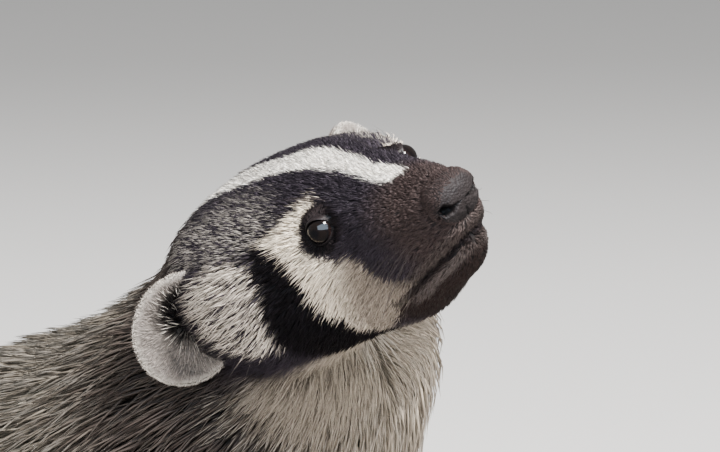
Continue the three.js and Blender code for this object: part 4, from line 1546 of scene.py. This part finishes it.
PUPIL = linear("#050406")
IRIS = linear("#0d0908")
LIMBUS = linear("#080607")
SCLERA = linear("#1c1413")
cornea = eye_material()
eyes = {}
for word, side in (("left", 1), ("right", -1)):
    centre, facing = eye_place(side), eye_axes(side)[2]
    ball = ball_mesh(centre, facing, EYE_RADIUS - BALL_GAP, CORNEA_BULGE)
    eye = joined("eye_ball_" + word, [loft_mesh(ball)])
    face_outwards(eye)
    offset = unit(to_plan(positions(eye.data)) - centre)
    polar = np.degrees(np.arccos(np.clip(offset @ facing, -1, 1)))
    colours = PUPIL * before(polar, PUPIL_EDGE)[:, None]
    colours = colours + IRIS * (smooth(polar, *PUPIL_EDGE) * before(polar, IRIS_EDGE))[:, None]
    colours = colours + LIMBUS * (smooth(polar, *IRIS_EDGE) * before(polar, LIMBUS_EDGE))[:, None]
    colours = colours + SCLERA * smooth(polar, *LIMBUS_EDGE)[:, None]
    write_colours(eye.data, "eye", colours)
    dress(eye, cornea)
    eyes[word] = eye

# %% [markdown]
# A lid is a section swept round the opening: it starts behind the ball's front, rolls over the edge, and
# ends under the skin. It stands a little higher along the brow.

# %% Lids
BROW_RISE = 0.35
LID_SIDES = 72


def lid_material():
    """Bare eyelid skin: nearly black, moist at the edge"""
    material, tree = new_material("moist_lid_skin")
    grain = grain_of(tree, 0.7, 3.0)
    colour = between(tree, grain, "#0f0b0c", "#1d1718")
    bump = bumped(tree, grain, 0.5, 0.2)
    finish_with(tree, {"Base Color": colour, "Roughness": 0.48, "Specular IOR Level": 0.15, "Normal": bump})
    return material


lid_skin = lid_material()
LID_SECTION = [
    # how far outside the opening, how far over the ball: millimetres
    (0.15, -0.6), (0.0, 0.05), (0.12, 0.42), (0.6, 0.62), (1.2, 0.5), (1.9, -0.1), (2.4, -1.2), (1.2, -1.6),
]


def make_lids(name, side):
    """One closed ring round the eye: longer along its line, with a pointed front corner"""
    centre = eye_place(side)
    fore, high, out = eye_axes(side)
    angle = np.arange(LID_SIDES) / LID_SIDES * 2 * math.pi
    from_front = np.angle(np.exp(1j * angle))
    from_back = np.angle(np.exp(1j * (angle - math.pi)))
    corner = 1 + 0.22 * np.exp(-(from_front / 0.36) ** 2) + 0.1 * np.exp(-(from_back / 0.45) ** 2)
    rings = []
    for beyond, over in LID_SECTION:
        a = np.cos(angle) * (OPENING[0] * corner + beyond)
        b = np.sin(angle) * (OPENING[1] + beyond)
        brow = BROW_RISE * np.clip(np.sin(angle), 0, 1) * (over > 0)
        depth = over_ball(np.hypot(a, b)) + over + brow
        rings.append(centre + a[:, None] * fore + b[:, None] * high + depth[:, None] * out)
    rings = np.array(rings)
    count = len(rings)
    faces = []
    for r in range(count):
        for k in range(LID_SIDES):
            n = (k + 1) % LID_SIDES
            here = r * LID_SIDES
            onward = (r + 1) % count * LID_SIDES
            faces.append((here + k, here + n, onward + n, onward + k))
    lid = joined(name, [(rings.reshape(-1, 3), faces)])
    face_outwards(lid)
    smoother = lid.modifiers.new("round", "SUBSURF")
    smoother.levels = 1
    smoother.render_levels = 1
    plain_mesh(lid)
    dress(lid, lid_skin)
    return lid


lids = {word: make_lids("lids_" + word, side) for word, side in (("left", 1), ("right", -1))}

# %% [markdown]
# The nose pad is moist, pebbled leather. It is a loft of its own. Its comma-shaped nostrils and the cleft
# below them are pressed into the mesh and darkened with painted shade, and its pebbles, which are under a
# millimetre wide, are a bump.

# %% Nose pad
NOSE_SECTIONS = [
    # x, middle height, half width, up, down
    (41, -4, 5, 4, 4),
    (45, -4.4, 8.2, 7, 7.4),
    (49.5, -5.2, 10.2, 8.4, 9.4),
    (54.0, -6.4, 9.2, 7.6, 8.8),
    (56.2, -7, 5.4, 4.4, 5.2),
]
NOSE_SQUARE = 2.4
nose_form = Form(
    [(on_head([x, 0, z]), (w, u, d), NECK_DORSAL) for x, z, w, u, d in NOSE_SECTIONS],
    NOSE_SQUARE,
)
# Strokes of the nostril and of the slit in its wing: place in the head's frame, reach
NOSTRIL = np.array([(54.6, 5.7, -7.6, 1.7), (53.6, 6.9, -7.0, 2.5)])
NOSTRIL_WING = np.array([(53.0, 7.6, -7.6, 1.4), (51.2, 9.2, -9.0, 1.0), (49.4, 10.2, -11.2, 0.5)])
NOSTRIL_DEPTH = 3.6
WING_DEPTH = 1.2
CLEFT_DEPTH = 0.6
CLEFT_HALF_WIDTH = 0.6
PEBBLE_SIZE = 0.9


def nose_material():
    """Nose leather: dark, pebbled and barely moist, with painted shade in the nostrils and the cleft"""
    material, tree = new_material("moist_nose_leather")
    place = add_node(tree, "ShaderNodeTexCoord")
    cells = {"Vector": place.outputs["Object"], "Scale": 1 / (PEBBLE_SIZE * MM)}
    pebble = add_node(tree, "ShaderNodeTexVoronoi", cells)
    colour = between(tree, grain_of(tree, 4, 4.0), "#131112", "#282323")
    # The shade attribute is painted shade, dark in the nostrils and the cleft
    depth = add_node(tree, "ShaderNodeAttribute", attribute_name="shade")
    shaded = times(tree, colour, depth.outputs["Color"])
    bump = bumped(tree, pebble.outputs["Distance"], 0.9, 0.35, invert=True)
    finish_with(tree, {"Base Color": shaded, "Roughness": 0.6, "Specular IOR Level": 0.09, "Normal": bump})
    return material


def stroke(points, radii, places):
    """How far inside a brush stroke each place is, in millimetres: positive inside"""
    best = np.full(len(places), -1e9)
    for a, b, ra, rb in zip(points[:-1], points[1:], radii[:-1], radii[1:]):
        along = b - a
        share = np.clip(((places - a) @ along) / (along @ along), 0, 1)
        gap = np.linalg.norm(places - (a + share[:, None] * along), axis=1)
        best = np.maximum(best, ra + (rb - ra) * share - gap)
    return best


nose = joined("nose_leather_pad", [loft_mesh(nose_form.rings(90, 120))])
nose_places = positions(nose.data)
nose_local = to_head(nose_places)
nose_ones = np.ones(len(nose_local))
hole = smooth(stroke(NOSTRIL[:, :3], NOSTRIL[:, 3], mirrored(nose_local)), -0.8, 0.9)
wing = smooth(stroke(NOSTRIL_WING[:, :3], NOSTRIL_WING[:, 3], mirrored(nose_local)), -0.6, 0.8)
hollow = np.maximum(hole, wing)
cleft = np.exp(-(nose_local[:, 1] / CLEFT_HALF_WIDTH) ** 2) * smooth(nose_local[:, 2], -9.0, -11.0)
inward = np.column_stack([-nose_ones, -0.3 * np.sign(nose_local[:, 1]), 0.1 * nose_ones])
sink = np.maximum(NOSTRIL_DEPTH * hole, WING_DEPTH * wing)
nose_move = head_way(inward) * sink[:, None] - normals(nose.data) * (CLEFT_DEPTH * cleft)[:, None]
set_positions(nose.data, nose_places + nose_move * MM)
# Painted shade: the nostrils and the cleft are darkened as the hollows they are
shade = (1 - 0.93 * hollow) * (1 - 0.5 * cleft)
write_colours(nose.data, "shade", np.column_stack([shade, shade, shade]))
dress(nose, nose_material())

# %% [markdown]
# The bare leather is only the front of the pad, round the nostrils. Above and behind it the pad carries the
# muzzle's own short hair, so there is no edge where the pad meets the muzzle.

# %% Hair on the nose
LEATHER_FROM = 49.5
LEATHER_MIDDLE = -7.0
LEATHER_HALF_WIDTH = 9.4
LEATHER_HALF_HEIGHT = 6.6
NOSE_TIP_HAIR = (1.6, 0.3, 0.2, 0.3)


def leather(local):
    """1 on the bare leather and 0 where hair grows"""
    x, y, z = local.T
    reach = np.hypot(y / LEATHER_HALF_WIDTH, (z - LEATHER_MIDDLE) / LEATHER_HALF_HEIGHT)
    return smooth(reach, 1.12, 0.94) * smooth(x, LEATHER_FROM - 1, LEATHER_FROM + 1)


def nose_chooser(roots, out, random):
    """What the tufts of the nose are like at their roots"""
    local = to_head(roots)
    ones = np.ones(len(roots))
    share = dict(head=ones, neck=0 * ones, torso=0 * ones, leg=0 * ones, foot=0 * ones, tail=0 * ones)
    way = lie_of_coat(roots, out, share)
    full = smooth(local[:, 0], 55, 48)
    longest = np.array(MUZZLE_HAIR) * [0.85, 0.8, 0.8, 0.8]
    measures = blend(np.array([NOSE_TIP_HAIR]) * ones[:, None], longest, full)
    return head_markings(local, random)[0], 0 * ones, share, way, measures


unwrap(nose)
nose_ground = Ground(nose)
nose_centres = to_head(nose_ground.centre)
nose_density = (1 - leather(nose_centres)) * (nose_centres[:, 0] > 44)
coat += grow(
    "coat_nose", nose_ground, TUFTS["nose"], nose_density, short_hair, 71,
    choose=nose_chooser,
)
print("the whole coat has", len(coat), "pieces")

# %% [markdown]
# Claws are horn: long, pale and worn on the forefeet, short on the hind. Each is a loft that curves down
# and tapers, flattened at the sides, with a growth grain along it.

# %% Claws
CLAW_RINGS = 16
CLAW_SIDES = 14


def claw_material():
    """Worn horn: honey brown at the root, paler and duller to the tip, finely grained along"""
    material, tree = new_material("worn_horn")
    grain = grain_of(tree, 1.5, 4.0)
    colour = tinted(tree, "horn", grain, 0.75, 1.15)
    bump = bumped(tree, grain, 0.4, 0.15)
    finish_with(tree, {"Base Color": colour, "Roughness": 0.42, "IOR": 1.54, "Normal": bump})
    return material


HORN_ROOT = linear("#8a7250")
HORN_TIP = linear("#d8c7a4")
horn = claw_material()


def claw_rings(foot, side, k):
    """Rings of one claw: it rises off the toe, droops, and tapers to its tip"""
    start = toe_reach(foot, k) - 5
    aside = toe_aside(foot, k)
    length = foot["claw"] * (1 - 0.07 * abs(k - LEADING_TOE))
    thick = foot["claw_radius"]
    across = foot_point(foot, side, 0, 1, 0) - foot_point(foot, side, 0, 0, 0)
    middles = []
    shares = np.linspace(0, 1, CLAW_RINGS)
    for s in shares:
        droop = 0.22 + 0.62 * s
        ahead = start + length * math.sin(s * 1.05) * 0.93
        up = 9.4 + length * (0.16 * math.sin(s * 2.4) - 0.2 * droop * s)
        middles.append(foot_point(foot, side, ahead, aside * (1.12 + 0.1 * s), max(up, 2.2 * (1 - s) + 1.3)))
    middles = np.array(middles)
    along = unit(np.gradient(middles, axis=0))
    high = unit(np.cross(along, across))
    high = high * np.sign(high[:, 2:3])
    angle = np.arange(CLAW_SIDES) / CLAW_SIDES * 2 * math.pi
    size = thick * (1 - shares) ** 0.65 + 0.3
    under = np.where(np.sin(angle) < 0, 0.8, 1.0)
    return (
        middles[:, None]
        + across[None, None] * (np.cos(angle)[None] * size[:, None] * 0.68)[..., None]
        + high[:, None] * (np.sin(angle) * under * size[:, None])[..., None]
    )


claws = {}
for limb, foot in (("fore", FORE_FOOT), ("hind", HIND_FOOT)):
    for word, side in (("left", 1), ("right", -1)):
        for k in range(TOES):
            node = f"{limb}claw_{word}_{k + 1}"
            claw = joined("horn_" + node, [loft_mesh(claw_rings(foot, side, k))])
            face_outwards(claw)
            order = np.repeat(np.linspace(0, 1, CLAW_RINGS), CLAW_SIDES)
            shares = np.concatenate([order, [0.0, 1.0]])[:len(claw.data.vertices)]
            colours = HORN_ROOT + (HORN_TIP - HORN_ROOT) * smooth(shares, 0.1, 0.8)[:, None]
            write_colours(claw.data, "horn", colours)
            dress(claw, horn)
            claws[node] = claw
print(len(claws), "claws")

# %% [markdown]
# Whiskers are stiff single hairs that repeat by rule, which suits Geometry Nodes: one tapered, bent hair is
# instanced on a handful of points, each turned along a direction stored on its point. The instances are
# realized and the result is made a plain mesh.

# %% Whiskers
WHISKER_LENGTH = 30.0
WHISKER_ROOT = 0.26
WHISKER_TIP = 0.03
WHISKER_BEND = -7.0
SHORTEST_WHISKER = 0.45
WHISKER_ROWS = 3
WHISKERS_A_ROW = 5
BROW_WHISKERS = 4
BROW_SHARE = 0.5


def whisker_tree():
    """A node group that sets one tapered, bent hair on every point, along the point's own way"""
    tree = bpy.data.node_groups.new("whiskers", "GeometryNodeTree")
    tree.interface.new_socket("Geometry", in_out="INPUT", socket_type="NodeSocketGeometry")
    for name, value in (("Length", WHISKER_LENGTH * MM), ("Root radius", WHISKER_ROOT * MM / 2)):
        socket = tree.interface.new_socket(name, in_out="INPUT", socket_type="NodeSocketFloat")
        socket.default_value = value
    seed = tree.interface.new_socket("Seed", in_out="INPUT", socket_type="NodeSocketInt")
    seed.default_value = 5
    finish = tree.interface.new_socket("Material", in_out="INPUT", socket_type="NodeSocketMaterial")
    tree.interface.new_socket("Geometry", in_out="OUTPUT", socket_type="NodeSocketGeometry")
    inside = add_node(tree, "NodeGroupInput")
    hair = add_node(
        tree, "GeometryNodeMeshCone",
        {"Vertices": 6, "Side Segments": 10, "Radius Bottom": inside.outputs["Root radius"],
         "Radius Top": WHISKER_TIP * MM, "Depth": inside.outputs["Length"]},
    )
    place = add_node(tree, "GeometryNodeInputPosition")
    split = add_node(tree, "ShaderNodeSeparateXYZ", {"Vector": place.outputs["Position"]})
    square = add_node(tree, "ShaderNodeMath", {0: split.outputs["Z"], 1: 2.0}, operation="POWER")
    bending = {0: square.outputs["Value"], 1: WHISKER_BEND}
    bend = add_node(tree, "ShaderNodeMath", bending, operation="MULTIPLY")
    offset = add_node(tree, "ShaderNodeCombineXYZ", {"X": bend.outputs["Value"]})
    bent = add_node(
        tree, "GeometryNodeSetPosition",
        {"Geometry": hair.outputs["Mesh"], "Offset": offset.outputs["Vector"]},
    )
    way = add_node(tree, "GeometryNodeInputNamedAttribute", {"Name": "way"}, data_type="FLOAT_VECTOR")
    along = {"Vector": way.outputs["Attribute"]}
    turn = add_node(tree, "FunctionNodeAlignRotationToVector", along, axis="Z")
    size = add_node(tree, "FunctionNodeRandomValue", {"Seed": inside.outputs["Seed"]}, data_type="FLOAT")
    size.inputs[2].default_value = SHORTEST_WHISKER
    size.inputs[3].default_value = 1.0
    share = add_node(tree, "GeometryNodeInputNamedAttribute", {"Name": "share"}, data_type="FLOAT")
    both = {0: size.outputs[1], 1: share.outputs["Attribute"]}
    scale = add_node(tree, "ShaderNodeMath", both, operation="MULTIPLY")
    placed = add_node(
        tree, "GeometryNodeInstanceOnPoints",
        {"Points": inside.outputs["Geometry"], "Instance": bent.outputs["Geometry"],
         "Rotation": turn.outputs["Rotation"], "Scale": scale.outputs["Value"]},
    )
    real = add_node(tree, "GeometryNodeRealizeInstances", {"Geometry": placed.outputs["Instances"]})
    coloured = add_node(
        tree, "GeometryNodeSetMaterial",
        {"Geometry": real.outputs["Geometry"], "Material": inside.outputs["Material"]},
    )
    add_node(tree, "NodeGroupOutput", {"Geometry": coloured.outputs["Geometry"]})
    return tree, finish


def whisker_material():
    """Whisker: a single stiff dark hair, smoother than the coat's"""
    material, tree = new_material("whisker_keratin")
    finish_with(tree, {"Base Color": (*linear("#3a3332"), 1), "Roughness": 0.4, "Specular IOR Level": 0.25})
    return material


whisker_points, whisker_ways, whisker_shares = [], [], []
for side in (1, -1):
    for row in range(WHISKER_ROWS):
        for k in range(WHISKERS_A_ROW):
            x = 40 - k * 4.4 - row * 1.5
            z = -13 - row * 3.6 - k * 0.5
            y = side * (head_half_width(x, z) - HEAD_INSET + 1.2)
            whisker_points.append(to_frame(on_head([x, y, z])))
            whisker_ways.append(head_way([-0.55 - 0.1 * k, side * (0.75 - 0.06 * k), -0.34 - 0.12 * row]))
            whisker_shares.append(1.0)
    for k in range(BROW_WHISKERS):
        whisker_points.append(to_frame(on_head([7 - 3 * k, side * (18 - k), 9.5])))
        whisker_ways.append(head_way([-0.9 - 0.15 * k, side * 0.5, 0.75]))
        whisker_shares.append(BROW_SHARE)
whiskers = new_object("whiskers", whisker_points, [])
way_layer = whiskers.data.attributes.new("way", "FLOAT_VECTOR", "POINT")
way_layer.data.foreach_set("vector", np.array(whisker_ways, np.float32).ravel())
share_layer = whiskers.data.attributes.new("share", "FLOAT", "POINT")
share_layer.data.foreach_set("value", np.array(whisker_shares, np.float32))
grower = whiskers.modifiers.new("whiskers", "NODES")
grower.node_group, finish_socket = whisker_tree()
grower[finish_socket.identifier] = whisker_material()
plain_mesh(whiskers)
print("whiskers", len(whiskers.data.polygons), "faces")

# %% [markdown]
# Every piece rides on the still model's one body, and the solids it replaces are hidden. The skin takes the
# place of all the flesh.

# %% Tie the pieces to the solids
FLESH = ["head", "neck", "torso", "tail"]
for word in ("left", "right"):
    for limb in ("fore", "hind"):
        FLESH += [f"{limb}leg_{word}", f"{limb}foot_{word}"]

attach(skin, "root")
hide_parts(*FLESH)
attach(nose, "root")
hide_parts("nose_pad")
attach(whiskers, "root")
for word in ("left", "right"):
    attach(ears[word], "root")
    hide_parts("ear_" + word)
    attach(eyes[word], "root")
    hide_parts("eye_" + word)
    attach(lids[word], "root")
for node, claw in claws.items():
    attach(claw, "root")
    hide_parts(node)

# %% [markdown]
# The studio is a pale floor and soft light. The key stands high to the right of the camera, where the sun
# stood, so the crown and nose are bright and the cheeks fall off into shade; a weak fill keeps the dark
# mask readable. The sky is a wide pale-blue card that only shows as a reflection, which is the catchlight
# in the wet eyes.

# %% Floor and light


def floor_material():
    """Matt studio floor paint"""
    material, tree = new_material("studio_floor")
    finish_with(tree, {"Base Color": (0.62, 0.61, 0.6, 1), "Roughness": 0.9})
    return material


FLOOR_HALF = 14.0
floor_corners = [(FLOOR_HALF * x, FLOOR_HALF * y, 0) for x, y in ((-1, -1), (1, -1), (1, 1), (-1, 1))]
floor = new_object("floor", floor_corners, [(0, 1, 2, 3)])
floor.data.materials.append(floor_material())
floor.visible_glossy = False


def area_light(name, azimuth, elevation, distance, size, power, colour):
    """A square light that faces the head"""
    data = bpy.data.lights.new(name, "AREA")
    data.size = size
    data.energy = power
    data.color = colour
    light = bpy.data.objects.new(name, data)
    bpy.context.collection.objects.link(light)
    a, e = math.radians(azimuth), math.radians(elevation)
    way = Vector((math.sin(a) * math.cos(e), -math.cos(a) * math.cos(e), math.sin(e)))
    light.location = between_eyes + way * distance
    light.rotation_euler = way.to_track_quat("Z", "Y").to_euler()
    return light


LIGHTS = {
    # azimuth, elevation, distance, size, power, colour
    "key": (62, 56, 2.4, 0.6, 390, (1.0, 0.97, 0.93)),
    "sky": (40, 30, 2.6, 4.0, 330, (0.66, 0.82, 1.0)),
    "fill": (-25, 25, 3.0, 2.2, 22, (0.92, 0.96, 1.0)),
    "rim": (215, 40, 2.8, 1.5, 60, (1.0, 1.0, 1.0)),
}
SKY_HEIGHT = 2.0
lights = {name: area_light(name, *measures) for name, measures in LIGHTS.items()}
lights["sky"].data.shape = "RECTANGLE"
lights["sky"].data.size_y = SKY_HEIGHT
lights["sky"].visible_diffuse = False
lights["fill"].visible_glossy = False
lights["rim"].visible_glossy = False

world = bpy.data.worlds.new("studio")
world.use_nodes = True
background = world.node_tree.nodes["Background"]
background.inputs["Color"].default_value = (0.86, 0.88, 0.9, 1)
background.inputs["Strength"].default_value = 0.5
bpy.context.scene.world = world
